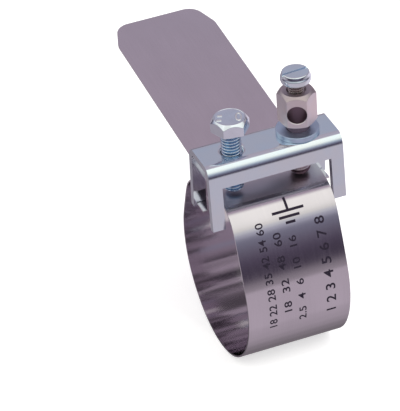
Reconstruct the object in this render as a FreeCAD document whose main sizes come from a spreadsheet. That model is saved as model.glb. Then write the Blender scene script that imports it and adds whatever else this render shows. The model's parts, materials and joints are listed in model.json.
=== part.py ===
import FreeCAD, Part
import math
import os
import Sketcher

# Earthing clamp for a round metal pipe. A stainless strap loops round the pipe and its
# long tail runs back through the windows of a plated steel bridge. A hexagon bolt in the
# bridge presses on the strap, and a hexagon terminal post beside it holds the earth wire
# in a cross hole under a slotted screw.
#
# Frame, in millimetres: the origin is the centre of the pipe bore halfway along the strap.
# X runs along the pipe, Z points up to the bridge and its screws, and the tail of the strap
# points to +Y.

doc = FreeCAD.newDocument("earthing_clamp")

# Driving dimensions

sheet = doc.addObject("Spreadsheet::Sheet", "Dimensions")
next_row = 1


def dimension(alias, value):
    """Write one plain number into the sheet under its own name."""
    global next_row
    cell = "B" + str(next_row)
    sheet.set("A" + str(next_row), alias)
    sheet.set(cell, str(value))
    sheet.setAlias(cell, alias)
    next_row += 1


# The pipe that the strap fits, and the strap's own stock
dimension("pipe_diameter", 50.0)
dimension("strap_thickness", 0.5)
dimension("strap_width", 32.0)

# The route of the strap, seen along the pipe
dimension("back_lift_angle", 20.0)
dimension("back_bend_radius", 12.0)
dimension("front_lift_angle", 20.0)
dimension("front_bend_radius", 10.0)
dimension("tail_slope_angle", 4.86)
dimension("tail_end_reach", 83.3)

# The strap's hooked end, inside the bridge
dimension("tee_width", 39.6)
dimension("tee_length", 5.0)
dimension("tee_gap_to_pipe", 0.6)

# The corners cut from the end of the tail
dimension("tail_corner_length", 9.8)
dimension("tail_corner_width", 3.25)
dimension("tail_tip_radius", 5.0)
dimension("tail_shoulder_radius", 8.0)

# The bridge, a channel bent from sheet
dimension("bridge_length", 41.5)
dimension("bridge_top_height", 45.6)
dimension("bridge_depth", 15.2)
dimension("bridge_centre_reach", 5.5)
dimension("sheet_thickness", 2.0)
dimension("outer_bend_radius", 3.0)
dimension("flange_flare_angle", 3.0)
dimension("leg_gap_to_pipe", 0.2)
dimension("leg_width", 3.9)
dimension("window_top_height", 38.7)
dimension("collar_diameter", 9.0)
dimension("collar_drop", 2.0)

# The screws' stations along the pipe, on the middle line of the bridge
dimension("bolt_station", 10.5)
dimension("post_station", 10.2)
dimension("screw_thread_diameter", 6.0)
dimension("thread_clearance", 0.04)

# The clamp bolt, a hexagon head on a fully threaded shank
dimension("bolt_across_flats", 10.0)
dimension("bolt_head_height", 4.0)
dimension("bolt_shank_length", 20.0)
dimension("bolt_tip_height", 32.6)
dimension("bolt_tip_gap", 1.1)
dimension("bolt_head_turn", 39.5)
dimension("bolt_face_diameter", 8.6)
dimension("bolt_head_chamfer_angle", 39.0)
dimension("bolt_tip_chamfer", 0.7)

# The washer under the post
dimension("flat_washer_diameter", 12.5)
dimension("flat_washer_bore", 6.4)
dimension("flat_washer_thickness", 1.6)

# The terminal post, a hexagon with a round neck on a threaded stud
dimension("post_across_flats", 10.0)
dimension("post_height", 10.4)
dimension("post_turn", 23.0)
dimension("post_top_face_diameter", 8.8)
dimension("post_top_chamfer_angle", 47.5)
dimension("post_foot_face_diameter", 9.5)
dimension("post_foot_chamfer_angle", 25.0)
dimension("post_neck_diameter", 6.9)
dimension("post_neck_height", 2.4)
dimension("conductor_hole_diameter", 5.7)
dimension("conductor_hole_height", 4.5)
dimension("stud_length", 17.3)
dimension("stud_tip_chamfer", 0.7)

# The terminal screw, a slotted head on a short pointed shank
dimension("terminal_thread_diameter", 5.0)
dimension("terminal_head_lift", 2.8)
dimension("terminal_head_height", 3.2)
dimension("terminal_head_diameter", 8.9)
dimension("terminal_head_foot_diameter", 7.8)
dimension("terminal_head_face_diameter", 6.2)
dimension("terminal_head_crown", 1.3)
dimension("terminal_head_foot_round", 0.8)
dimension("terminal_shank_length", 8.2)
dimension("terminal_point_length", 2.3)
dimension("terminal_point_diameter", 0.8)
dimension("terminal_slot_width", 1.1)
dimension("terminal_slot_depth", 1.7)
dimension("terminal_slot_turn", 3.8)

doc.recompute()


def size(alias):
    """The plain number behind one name in the sheet."""
    return float(sheet.get(alias))


def bound(alias):
    """An expression that reads one name in the sheet."""
    return "Dimensions." + alias


# Building blocks


def new_body(name):
    """An empty body whose label is the name of the finished piece."""
    body = doc.addObject("PartDesign::Body", name)
    body.Label = name
    return body


def plane_of(body, role):
    """One of the body's own three origin planes."""
    for feature in body.Origin.OriginFeatures:
        if feature.Role == role:
            return feature
    raise RuntimeError("no plane " + role)


def new_sketch(body, name, role, offset=None):
    """An empty sketch flat on one origin plane of its body."""
    sketch = body.newObject("Sketcher::SketchObject", name)
    sketch.AttachmentSupport = (plane_of(body, role), [""])
    sketch.MapMode = "FlatFace"
    if offset is not None:
        sketch.AttachmentOffset = offset
    return sketch


def point(x, y):
    """A point on a sketch."""
    return FreeCAD.Vector(x, y, 0.0)


def lock_polygon(sketch, corners):
    """Draw a closed polygon and pin every corner where it was drawn."""
    first = sketch.GeometryCount
    count = len(corners)
    for i in range(count):
        start = corners[i]
        end = corners[(i + 1) % count]
        sketch.addGeometry(Part.LineSegment(point(*start), point(*end)), False)
    for i in range(count):
        sketch.addConstraint(
            Sketcher.Constraint("Coincident", first + i, 2, first + (i + 1) % count, 1)
        )
        sketch.addConstraint(Sketcher.Constraint("Block", first + i))


def add_circle(sketch, x, y, expression, diameter):
    """Draw a circle whose diameter is bound to the sheet."""
    index = sketch.addGeometry(Part.Circle(point(x, y), FreeCAD.Vector(0, 0, 1), diameter / 2), False)
    sketch.addConstraint(Sketcher.Constraint("DistanceX", -1, 1, index, 3, x))
    sketch.addConstraint(Sketcher.Constraint("DistanceY", -1, 1, index, 3, y))
    constraint = sketch.addConstraint(Sketcher.Constraint("Diameter", index, diameter))
    sketch.setExpression("Constraints[" + str(constraint) + "]", expression)
    return index


def add_pad(body, name, sketch, expression, midplane=False, reverse=False):
    """Pad a sketch by a length bound to the sheet."""
    pad = body.newObject("PartDesign::Pad", name)
    pad.Profile = sketch
    pad.Length = 1.0
    pad.setExpression("Length", expression)
    pad.Midplane = midplane
    pad.Reversed = reverse
    sketch.Visibility = False
    doc.recompute()
    return pad


def cut_through(body, name, sketch, midplane=False, reverse=False):
    """Pocket a sketch right through the body and make sure that it removed something."""
    before = body.Shape.Volume
    pocket = body.newObject("PartDesign::Pocket", name)
    pocket.Profile = sketch
    pocket.Type = "ThroughAll"
    pocket.Midplane = midplane
    pocket.Reversed = reverse
    doc.recompute()
    if body.Shape.Volume >= before - 1e-6:
        raise RuntimeError(name + " cut nothing")
    return pocket


def cut_depth(body, name, sketch, expression, midplane=False, reverse=False):
    """Pocket a sketch to a depth bound to the sheet and make sure that it removed something."""
    before = body.Shape.Volume
    pocket = body.newObject("PartDesign::Pocket", name)
    pocket.Profile = sketch
    pocket.Length = 1.0
    pocket.setExpression("Length", expression)
    pocket.Midplane = midplane
    pocket.Reversed = reverse
    doc.recompute()
    if body.Shape.Volume >= before - 1e-6:
        raise RuntimeError(name + " cut nothing")
    return pocket


def groove_ring(body, name, corners):
    """Turn away a ring whose section is a polygon of (radius, height) corners."""
    before = body.Shape.Volume
    sketch = new_sketch(body, name + "_section", "XZ_Plane")
    lock_polygon(sketch, corners)
    groove = body.newObject("PartDesign::Groove", name)
    groove.Profile = sketch
    groove.ReferenceAxis = (sketch, ["V_Axis"])
    groove.Angle = 360.0
    sketch.Visibility = False
    doc.recompute()
    if body.Shape.Volume >= before - 1e-6:
        raise RuntimeError(name + " cut nothing")
    return groove


def round_corners(body, name, spots, expression, radius):
    """Round the short upright edges that stand at the given (x, y) spots of a thin plate."""
    names = []
    for number, edge in enumerate(body.Shape.Edges, start=1):
        for x, y in spots:
            misses = [math.hypot(v.X - x, v.Y - y) for v in edge.Vertexes]
            if max(misses) < 0.1 and edge.Length < 2 * size("strap_thickness"):
                names.append("Edge" + str(number))
    if len(names) != len(spots):
        raise RuntimeError(name + " found " + str(len(names)) + " corners")
    before = body.Shape.Volume
    plate = body.Tip
    fillet = body.newObject("PartDesign::Fillet", name)
    fillet.Base = (plate, names)
    fillet.Radius = radius
    fillet.setExpression("Radius", expression)
    doc.recompute()
    if body.Shape.Volume >= before - 1e-6:
        raise RuntimeError(name + " rounded nothing")
    return fillet


def add_hexagon(sketch, expression, across_flats):
    """Draw a regular hexagon, a corner on -Y, whose width across flats is bound to the sheet."""
    corner_radius = across_flats / math.sqrt(3.0)
    first = sketch.GeometryCount
    for i in range(6):
        a0 = math.radians(-90.0 + 60.0 * i)
        a1 = math.radians(-30.0 + 60.0 * i)
        start = point(corner_radius * math.cos(a0), corner_radius * math.sin(a0))
        end = point(corner_radius * math.cos(a1), corner_radius * math.sin(a1))
        sketch.addGeometry(Part.LineSegment(start, end), False)
    circle = Part.Circle(point(0, 0), FreeCAD.Vector(0, 0, 1), corner_radius)
    guide = sketch.addGeometry(circle, True)
    sketch.addConstraint(Sketcher.Constraint("Coincident", guide, 3, -1, 1))
    for i in range(6):
        following = first + (i + 1) % 6
        sketch.addConstraint(Sketcher.Constraint("Coincident", first + i, 2, following, 1))
        sketch.addConstraint(Sketcher.Constraint("PointOnObject", first + i, 1, guide))
    for i in range(1, 6):
        sketch.addConstraint(Sketcher.Constraint("Equal", first, first + i))
    sketch.addConstraint(Sketcher.Constraint("PointOnObject", first, 1, -2))
    constraint = sketch.addConstraint(Sketcher.Constraint("Diameter", guide, 2 * corner_radius))
    sketch.setExpression("Constraints[" + str(constraint) + "]", expression + " * 2 / sqrt(3)")


def stand(body, x, y, z, turn=0.0):
    """Place a finished piece, turned about its own upright axis."""
    body.Placement = FreeCAD.Placement(
        FreeCAD.Vector(x, y, z), FreeCAD.Rotation(FreeCAD.Vector(0, 0, 1), turn)
    )


# Shared values that follow from the sheet

pipe_radius = size("pipe_diameter") / 2
strap_half = size("strap_thickness") / 2
loop_radius = pipe_radius + strap_half
bridge_y = -size("bridge_centre_reach")
plate_top = size("bridge_top_height")
leg_foot = pipe_radius + size("leg_gap_to_pipe")

# The strap's route, as the middle of its thickness in the YZ plane. It starts at the hooked
# end on the crown of the pipe, leaves through the back window, bends down to the back of the
# pipe, goes round underneath, rises at the front, bends over and ends as the straight tail.

strap = new_body("strap")
route = new_sketch(strap, "strap_route", "YZ_Plane")

hook_z = pipe_radius + size("tee_gap_to_pipe") + strap_half
leg_angle = math.radians(size("flange_flare_angle"))
leg_inner_y = bridge_y + size("bridge_depth") / 2 - size("sheet_thickness")
leg_inner_y += math.tan(leg_angle) * (plate_top - size("outer_bend_radius") - hook_z)
hook_y = leg_inner_y - size("tee_length")

# The rise behind the pipe: off the loop at back_lift_angle, straight, then a bend to level
back_angle = math.radians(size("back_lift_angle"))
back_bend = size("back_bend_radius")
back_off = (loop_radius * math.cos(back_angle), loop_radius * math.sin(back_angle))
back_run = (hook_z - back_bend * (1.0 - math.sin(back_angle)) - back_off[1]) / math.cos(back_angle)
back_top = (
    back_off[0] - back_run * math.sin(back_angle),
    back_off[1] + back_run * math.cos(back_angle),
)
back_centre = (
    back_top[0] - back_bend * math.cos(back_angle),
    back_top[1] - back_bend * math.sin(back_angle),
)
back_level = (back_centre[0], back_centre[1] + back_bend)

# The rise in front of the pipe: off the loop at front_lift_angle, straight, then a bend that
# ends along the tail
front_angle = math.radians(size("front_lift_angle"))
front_bend = size("front_bend_radius")
tail_angle = math.radians(size("tail_slope_angle"))
front_off = (-loop_radius * math.cos(front_angle), loop_radius * math.sin(front_angle))
tail_height_at_screws = size("bolt_tip_height") - size("bolt_tip_gap") - strap_half


def tail_z(y):
    """Height of the middle of the tail at one reach from the pipe's centre line."""
    return tail_height_at_screws + math.tan(tail_angle) * (y - bridge_y)


def bend_miss(run):
    """How far a front bend that starts after this straight run ends above the tail's line."""
    start_y = front_off[0] + run * math.sin(front_angle)
    start_z = front_off[1] + run * math.cos(front_angle)
    end_y = start_y + front_bend * (math.cos(front_angle) - math.sin(tail_angle))
    end_z = start_z + front_bend * (math.cos(tail_angle) - math.sin(front_angle))
    return end_z - tail_z(end_y)


# The miss grows in a straight line with the run, so two readings give the run with none
front_run = -bend_miss(0.0) / (bend_miss(1.0) - bend_miss(0.0))
front_top = (
    front_off[0] + front_run * math.sin(front_angle),
    front_off[1] + front_run * math.cos(front_angle),
)
front_centre = (
    front_top[0] + front_bend * math.cos(front_angle),
    front_top[1] - front_bend * math.sin(front_angle),
)
tail_start = (
    front_centre[0] - front_bend * math.sin(tail_angle),
    front_centre[1] + front_bend * math.cos(tail_angle),
)
tail_end = (size("tail_end_reach"), tail_z(size("tail_end_reach")))


def route_line(start, end):
    """One straight run of the route."""
    return route.addGeometry(Part.LineSegment(point(*start), point(*end)), False)


def route_arc(centre, radius, a0, a1):
    """One bend of the route, from angle a0 anticlockwise to angle a1."""
    circle = Part.Circle(point(*centre), FreeCAD.Vector(0, 0, 1), radius)
    return route.addGeometry(Part.ArcOfCircle(circle, a0, a1), False)


hook_run = route_line((hook_y, hook_z), back_level)
back_arc = route_arc(back_centre, back_bend, back_angle, math.pi / 2)
back_line = route_line(back_top, back_off)
loop_arc = route_arc((0.0, 0.0), loop_radius, math.pi - front_angle, 2 * math.pi + back_angle)
front_line = route_line(front_off, front_top)
front_arc = route_arc(front_centre, front_bend, math.pi / 2 + tail_angle, math.pi - front_angle)
tail_run = route_line(tail_start, tail_end)

route.addConstraint(Sketcher.Constraint("Coincident", loop_arc, 3, -1, 1))
route.addConstraint(Sketcher.Constraint("Tangent", hook_run, 2, back_arc, 2))
route.addConstraint(Sketcher.Constraint("Tangent", back_arc, 1, back_line, 1))
route.addConstraint(Sketcher.Constraint("Tangent", back_line, 2, loop_arc, 2))
route.addConstraint(Sketcher.Constraint("Tangent", loop_arc, 1, front_line, 1))
route.addConstraint(Sketcher.Constraint("Tangent", front_line, 2, front_arc, 2))
route.addConstraint(Sketcher.Constraint("Tangent", front_arc, 1, tail_run, 1))
route.addConstraint(Sketcher.Constraint("Horizontal", hook_run))


def bind(constraint, expression):
    """Add one constraint to the route and bind its value to the sheet."""
    index = route.addConstraint(constraint)
    route.setExpression("Constraints[" + str(index) + "]", expression)


bind(
    Sketcher.Constraint("Radius", loop_arc, loop_radius),
    "(Dimensions.pipe_diameter + Dimensions.strap_thickness) / 2",
)
bind(Sketcher.Constraint("Radius", back_arc, back_bend), bound("back_bend_radius"))
bind(Sketcher.Constraint("Radius", front_arc, front_bend), bound("front_bend_radius"))
bind(
    Sketcher.Constraint("DistanceY", -1, 1, hook_run, 1, hook_z),
    "(Dimensions.pipe_diameter + Dimensions.strap_thickness) / 2 + Dimensions.tee_gap_to_pipe",
)
bind(Sketcher.Constraint("DistanceX", -1, 1, tail_run, 2, tail_end[0]), bound("tail_end_reach"))
doc.recompute()

blank = new_sketch(
    strap,
    "strap_section",
    "XZ_Plane",
    FreeCAD.Placement(FreeCAD.Vector(0, 0, -hook_y), FreeCAD.Rotation()),
)
half_width = size("strap_width") / 2
lock_polygon(
    blank,
    [
        (-half_width, hook_z - strap_half),
        (half_width, hook_z - strap_half),
        (half_width, hook_z + strap_half),
        (-half_width, hook_z + strap_half),
    ],
)
band = strap.newObject("PartDesign::AdditivePipe", "strap_band")
band.Profile = blank
band.Spine = (route, [])
blank.Visibility = False
route.Visibility = False
doc.recompute()

# The hooked end is wider than the window, so its shoulders bear on the back legs
tee = new_sketch(
    strap,
    "tee_outline",
    "XY_Plane",
    FreeCAD.Placement(FreeCAD.Vector(0, 0, hook_z - strap_half), FreeCAD.Rotation()),
)
half_tee = size("tee_width") / 2
lock_polygon(
    tee,
    [(-half_tee, hook_y), (half_tee, hook_y), (half_tee, leg_inner_y), (-half_tee, leg_inner_y)],
)
add_pad(strap, "tee_head", tee, bound("strap_thickness"))

# Both corners of the tail's end are cut at a slant and rounded
corners = new_sketch(strap, "tail_corners", "XY_Plane")
end_y = size("tail_end_reach")
cut_x = half_width - size("tail_corner_width")
shoulder_y = end_y - size("tail_corner_length")
past_y = end_y + 2.0
past_x = cut_x - (past_y - end_y) * size("tail_corner_width") / size("tail_corner_length")
for side in (-1, 1):
    outline = [
        (side * past_x, past_y),
        (side * half_width, shoulder_y),
        (side * (half_width + 2.0), shoulder_y),
        (side * (half_width + 2.0), past_y),
    ]
    lock_polygon(corners, outline)
cut_through(strap, "tail_corner_cuts", corners, midplane=True)
round_corners(
    strap,
    "tail_tip_rounds",
    [(-cut_x, end_y), (cut_x, end_y)],
    bound("tail_tip_radius"),
    size("tail_tip_radius"),
)
round_corners(
    strap,
    "tail_shoulder_rounds",
    [(-half_width, shoulder_y), (half_width, shoulder_y)],
    bound("tail_shoulder_radius"),
    size("tail_shoulder_radius"),
)
strap.Placement = FreeCAD.Placement()

# The bridge: a channel with slightly flared flanges, open at both ends

bridge = new_body("bridge")
section = new_sketch(bridge, "channel_section", "YZ_Plane")
wall = size("sheet_thickness")
outer = size("outer_bend_radius")
inner = outer - wall
half_depth = size("bridge_depth") / 2
shoulder_z = plate_top - outer
turn = math.pi / 2 - leg_angle


def channel_side(side):
    """Corner points of one flange, from its foot to the plate, on the side given."""
    centre_y = bridge_y + side * (half_depth - outer)
    outer_end = (
        centre_y + side * outer * math.cos(leg_angle),
        shoulder_z + outer * math.sin(leg_angle),
    )
    inner_end = (
        centre_y + side * inner * math.cos(leg_angle),
        shoulder_z + inner * math.sin(leg_angle),
    )
    outer_foot = (
        outer_end[0] + side * math.tan(leg_angle) * (outer_end[1] - leg_foot),
        leg_foot,
    )
    inner_foot = (
        inner_end[0] + side * math.tan(leg_angle) * (inner_end[1] - leg_foot),
        leg_foot,
    )
    return centre_y, outer_end, inner_end, outer_foot, inner_foot


back_y, back_out, back_in, back_out_foot, back_in_foot = channel_side(1)
front_y, front_out, front_in, front_out_foot, front_in_foot = channel_side(-1)


def section_line(start, end):
    """One straight edge of the channel's section."""
    return section.addGeometry(Part.LineSegment(point(*start), point(*end)), False)


def section_arc(centre_y, radius, a0, a1):
    """One bend of the channel's section."""
    circle = Part.Circle(point(centre_y, shoulder_z), FreeCAD.Vector(0, 0, 1), radius)
    return section.addGeometry(Part.ArcOfCircle(circle, a0, a1), False)


plate_under = plate_top - wall
edges = [
    section_line((front_y, plate_top), (back_y, plate_top)),
    section_arc(back_y, outer, leg_angle, math.pi / 2),
    section_line(back_out, back_out_foot),
    section_line(back_out_foot, back_in_foot),
    section_line(back_in_foot, back_in),
    section_arc(back_y, inner, leg_angle, math.pi / 2),
    section_line((back_y, plate_under), (front_y, plate_under)),
    section_arc(front_y, inner, math.pi / 2, math.pi - leg_angle),
    section_line(front_in, front_in_foot),
    section_line(front_in_foot, front_out_foot),
    section_line(front_out_foot, front_out),
    section_arc(front_y, outer, math.pi / 2, math.pi - leg_angle),
]
for edge in edges:
    section.addConstraint(Sketcher.Constraint("Block", edge))
add_pad(bridge, "channel", section, bound("bridge_length"), midplane=True)

# One opening through both flanges, from the feet up, leaves four legs and two top bands
window = new_sketch(bridge, "window_outline", "XZ_Plane")
half_window = size("bridge_length") / 2 - size("leg_width")
window_top = size("window_top_height")
lock_polygon(
    window,
    [
        (-half_window, leg_foot - 2.0),
        (half_window, leg_foot - 2.0),
        (half_window, window_top),
        (-half_window, window_top),
    ],
)
cut_through(bridge, "windows", window, midplane=True)

# The sheet is drawn down into a collar at each threaded hole
collars = new_sketch(
    bridge,
    "collar_outlines",
    "XY_Plane",
    FreeCAD.Placement(FreeCAD.Vector(0, 0, plate_under), FreeCAD.Rotation()),
)
stations = (-size("bolt_station"), size("post_station"))
for station in stations:
    add_circle(collars, station, bridge_y, bound("collar_diameter"), size("collar_diameter"))
add_pad(bridge, "collars", collars, bound("collar_drop"), reverse=True)

threads = new_sketch(bridge, "thread_holes", "XY_Plane")
thread_bore = size("screw_thread_diameter") + 2 * size("thread_clearance")
for station in stations:
    add_circle(
        threads,
        station,
        bridge_y,
        "Dimensions.screw_thread_diameter + 2 * Dimensions.thread_clearance",
        thread_bore,
    )
cut_through(bridge, "threaded_holes", threads, midplane=True)
bridge.Placement = FreeCAD.Placement()

# The clamp bolt, built with its tip on its own origin

bolt = new_body("clamp_bolt")
shank = new_sketch(bolt, "bolt_shank_outline", "XY_Plane")
add_circle(shank, 0, 0, bound("screw_thread_diameter"), size("screw_thread_diameter"))
add_pad(bolt, "bolt_shank", shank, bound("bolt_shank_length"))
shank_length = size("bolt_shank_length")
shank_radius = size("screw_thread_diameter") / 2
head = new_sketch(
    bolt,
    "bolt_head_outline",
    "XY_Plane",
    FreeCAD.Placement(FreeCAD.Vector(0, 0, shank_length), FreeCAD.Rotation()),
)
add_hexagon(head, bound("bolt_across_flats"), size("bolt_across_flats"))
add_pad(bolt, "bolt_head", head, bound("bolt_head_height"))
head_top = shank_length + size("bolt_head_height")
head_far = size("bolt_across_flats") / math.sqrt(3.0) + 1.0
face_radius = size("bolt_face_diameter") / 2
face_drop = math.tan(math.radians(size("bolt_head_chamfer_angle"))) * (head_far - face_radius)
groove_ring(
    bolt,
    "bolt_head_chamfer",
    [(face_radius, head_top), (head_far, head_top - face_drop), (head_far, head_top)],
)
tip_chamfer = size("bolt_tip_chamfer")
groove_ring(
    bolt,
    "bolt_tip_bevel",
    [(shank_radius - tip_chamfer, 0.0), (shank_radius, 0.0), (shank_radius, tip_chamfer)],
)
stand(bolt, -size("bolt_station"), bridge_y, size("bolt_tip_height"), -size("bolt_head_turn"))

# The washer between the bridge and the post

flat_washer = new_body("flat_washer")
ring = new_sketch(flat_washer, "flat_washer_outline", "XY_Plane")
add_circle(ring, 0, 0, bound("flat_washer_diameter"), size("flat_washer_diameter"))
add_circle(ring, 0, 0, bound("flat_washer_bore"), size("flat_washer_bore"))
add_pad(flat_washer, "flat_washer_ring", ring, bound("flat_washer_thickness"))
stand(flat_washer, size("post_station"), bridge_y, plate_top)

# The terminal post, built with the foot of its hexagon on its own origin

post = new_body("terminal_post")
post_hex = new_sketch(post, "post_hexagon", "XY_Plane")
add_hexagon(post_hex, bound("post_across_flats"), size("post_across_flats"))
add_pad(post, "post_block", post_hex, bound("post_height"))
neck = new_sketch(post, "neck_outline", "XY_Plane")
add_circle(neck, 0, 0, bound("post_neck_diameter"), size("post_neck_diameter"))
add_pad(post, "post_neck", neck, bound("post_neck_height"), reverse=True)
stud = new_sketch(post, "stud_outline", "XY_Plane")
add_circle(stud, 0, 0, bound("screw_thread_diameter"), size("screw_thread_diameter"))
add_pad(post, "post_stud", stud, bound("stud_length"), reverse=True)
post_far = size("post_across_flats") / math.sqrt(3.0) + 1.0
post_top = size("post_height")
top_radius = size("post_top_face_diameter") / 2
top_drop = math.tan(math.radians(size("post_top_chamfer_angle"))) * (post_far - top_radius)
groove_ring(
    post,
    "post_top_chamfer",
    [(top_radius, post_top), (post_far, post_top - top_drop), (post_far, post_top)],
)
foot_radius = size("post_foot_face_diameter") / 2
foot_rise = math.tan(math.radians(size("post_foot_chamfer_angle"))) * (post_far - foot_radius)
groove_ring(
    post,
    "post_foot_chamfer",
    [(foot_radius, 0.0), (post_far, 0.0), (post_far, foot_rise)],
)
stud_end = -size("stud_length")
stud_chamfer = size("stud_tip_chamfer")
groove_ring(
    post,
    "stud_tip_bevel",
    [
        (shank_radius - stud_chamfer, stud_end),
        (shank_radius, stud_end),
        (shank_radius, stud_end + stud_chamfer),
    ],
)

# The conductor hole goes across the post, through two opposite flats
cross = new_sketch(post, "conductor_hole_outline", "YZ_Plane")
add_circle(
    cross,
    0,
    size("conductor_hole_height"),
    bound("conductor_hole_diameter"),
    size("conductor_hole_diameter"),
)
cut_through(post, "conductor_hole", cross, midplane=True)

# The tapped hole for the terminal screw runs from the top down into the conductor hole
tapped = new_sketch(
    post,
    "tapped_hole_outline",
    "XY_Plane",
    FreeCAD.Placement(FreeCAD.Vector(0, 0, post_top), FreeCAD.Rotation()),
)
add_circle(
    tapped,
    0,
    0,
    "Dimensions.terminal_thread_diameter + 2 * Dimensions.thread_clearance",
    size("terminal_thread_diameter") + 2 * size("thread_clearance"),
)
cut_depth(
    post,
    "tapped_hole",
    tapped,
    "Dimensions.post_height - Dimensions.conductor_hole_height",
)
post_foot = plate_top + size("flat_washer_thickness") + size("post_neck_height")
stand(post, size("post_station"), bridge_y, post_foot, 90.0 - size("post_turn"))

# The terminal screw, turned about its own axis with the underside of its head on the origin

screw = new_body("terminal_screw")
profile = new_sketch(screw, "terminal_screw_section", "XZ_Plane")
thread_radius = size("terminal_thread_diameter") / 2
head_height = size("terminal_head_height")
crown = size("terminal_head_crown")
foot_round = size("terminal_head_foot_round")
head_radius = size("terminal_head_diameter") / 2
head_face = size("terminal_head_face_diameter") / 2
head_foot = size("terminal_head_foot_diameter") / 2
head_sides = []
for angle in (0.0, 30.0, 60.0, 90.0):
    out, up = math.sin(math.radians(angle)), math.cos(math.radians(angle))
    reach = head_face + (head_radius - head_face) * out
    head_sides.append((reach, head_height - crown * (1.0 - up)))
for angle in (0.0, 45.0, 90.0):
    down, out = math.sin(math.radians(angle)), math.cos(math.radians(angle))
    head_sides.append((head_foot + (head_radius - head_foot) * out, foot_round * (1.0 - down)))
shank_end = -size("terminal_shank_length")
lock_polygon(
    profile,
    [
        (0.0, head_height),
        *head_sides,
        (thread_radius, 0.0),
        (thread_radius, shank_end + size("terminal_point_length")),
        (size("terminal_point_diameter") / 2, shank_end),
        (0.0, shank_end),
    ],
)
turned = screw.newObject("PartDesign::Revolution", "terminal_screw_turning")
turned.Profile = profile
turned.ReferenceAxis = (profile, ["V_Axis"])
turned.Angle = 360.0
profile.Visibility = False
doc.recompute()
slot = new_sketch(
    screw,
    "terminal_slot_outline",
    "XY_Plane",
    FreeCAD.Placement(FreeCAD.Vector(0, 0, head_height), FreeCAD.Rotation()),
)
slot_reach = size("terminal_head_diameter")
half_slot = size("terminal_slot_width") / 2
lock_polygon(
    slot,
    [
        (-slot_reach, -half_slot),
        (slot_reach, -half_slot),
        (slot_reach, half_slot),
        (-slot_reach, half_slot),
    ],
)
cut_depth(screw, "terminal_slot", slot, bound("terminal_slot_depth"))
head_seat = post_foot + post_top + size("terminal_head_lift")
stand(screw, size("post_station"), bridge_y, head_seat, size("terminal_slot_turn"))

# Everything must be sound before any file is written

doc.recompute()
pieces = [strap, bridge, bolt, flat_washer, post, screw]
for item in doc.Objects:
    for state in item.State:
        if state in ("Invalid", "Error"):
            raise RuntimeError(item.Label + " is " + state)
for piece in pieces:
    if piece.Shape.isNull() or not piece.Shape.isValid():
        raise RuntimeError(piece.Label + " has no valid shape")
    if len(piece.Shape.Solids) != 1:
        raise RuntimeError(piece.Label + " is not one solid")

os.makedirs("parts", exist_ok=True)
for piece in pieces:
    piece.Shape.exportStep("parts/" + piece.Label + ".step")
    box = piece.Shape.BoundBox
    print(
        piece.Label,
        "volume",
        round(piece.Shape.Volume, 1),
        "box",
        [round(v, 2) for v in (box.XMin, box.XMax, box.YMin, box.YMax, box.ZMin, box.ZMax)],
    )
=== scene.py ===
import json
import math

import bmesh
import bpy
import numpy as np
from bpy.props import FloatProperty, FloatVectorProperty, IntProperty, PointerProperty
from mathutils import Matrix, Vector


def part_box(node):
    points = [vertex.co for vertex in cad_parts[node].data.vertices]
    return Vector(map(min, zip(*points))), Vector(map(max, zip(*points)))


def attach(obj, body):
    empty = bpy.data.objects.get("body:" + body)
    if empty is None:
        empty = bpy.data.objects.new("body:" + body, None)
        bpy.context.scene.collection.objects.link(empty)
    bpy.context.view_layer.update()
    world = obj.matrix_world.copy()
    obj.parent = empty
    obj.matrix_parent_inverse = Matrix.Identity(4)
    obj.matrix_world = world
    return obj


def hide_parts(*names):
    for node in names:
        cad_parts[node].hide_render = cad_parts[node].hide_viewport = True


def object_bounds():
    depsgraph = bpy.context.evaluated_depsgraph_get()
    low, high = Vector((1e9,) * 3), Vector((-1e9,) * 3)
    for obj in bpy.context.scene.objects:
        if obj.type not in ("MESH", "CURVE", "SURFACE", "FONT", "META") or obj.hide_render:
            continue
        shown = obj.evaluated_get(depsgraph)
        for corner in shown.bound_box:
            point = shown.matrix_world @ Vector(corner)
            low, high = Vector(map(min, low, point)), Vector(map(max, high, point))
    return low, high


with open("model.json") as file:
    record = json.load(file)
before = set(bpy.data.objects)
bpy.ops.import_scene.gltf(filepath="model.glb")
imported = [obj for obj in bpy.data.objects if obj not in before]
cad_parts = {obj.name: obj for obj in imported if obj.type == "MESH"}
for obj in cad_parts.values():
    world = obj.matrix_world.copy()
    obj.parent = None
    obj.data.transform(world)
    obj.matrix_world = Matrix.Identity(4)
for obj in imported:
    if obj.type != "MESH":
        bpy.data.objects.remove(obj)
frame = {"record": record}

bl_info = {
    "name": "Earthing pipe clamp",
    "version": (1, 0, 0),
    "blender": (4, 5, 0),
    "location": "3D View > Sidebar > Clamp",
    "description": "Builds the looks of a strap clamp that earths a round metal pipe",
    "category": "Object",
}

MM = 0.001
TURN = 2.0 * math.pi

CAD_BOX = [list(corner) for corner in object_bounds()]
STRAP_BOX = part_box("strap")
BRIDGE_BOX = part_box("bridge")
BOLT_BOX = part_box("clamp_bolt")
FLAT_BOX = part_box("flat_washer")
POST_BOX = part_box("terminal_post")
SCREW_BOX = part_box("terminal_screw")
MOUNTS = {mount["name"]: mount for mount in frame["record"]["mounts"]}
PIPE_RADIUS = MOUNTS["pipe_grip"]["dims"]["r_mm"] * MM
STRAP_WIDTH = MOUNTS["pipe_grip"]["dims"]["length_mm"] * MM
HOLE_RADIUS = MOUNTS["conductor_hole"]["dims"]["r_mm"] * MM
HOLE_HEIGHT = MOUNTS["conductor_hole"]["pos_m"][2]
HOLE_AXIS = MOUNTS["conductor_hole"]["axis"]


def middle(box, axis):
    """Half way between a box's two corners along one axis."""
    return (box[0][axis] + box[1][axis]) / 2.0


def upright_axis(box):
    """X and Y of the upright line through a box's middle."""
    return middle(box, 0), middle(box, 1)


def length(name, description, default):
    """A length property in metres."""
    return FloatProperty(
        name=name, description=description, default=default, unit="LENGTH", precision=5
    )


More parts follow.
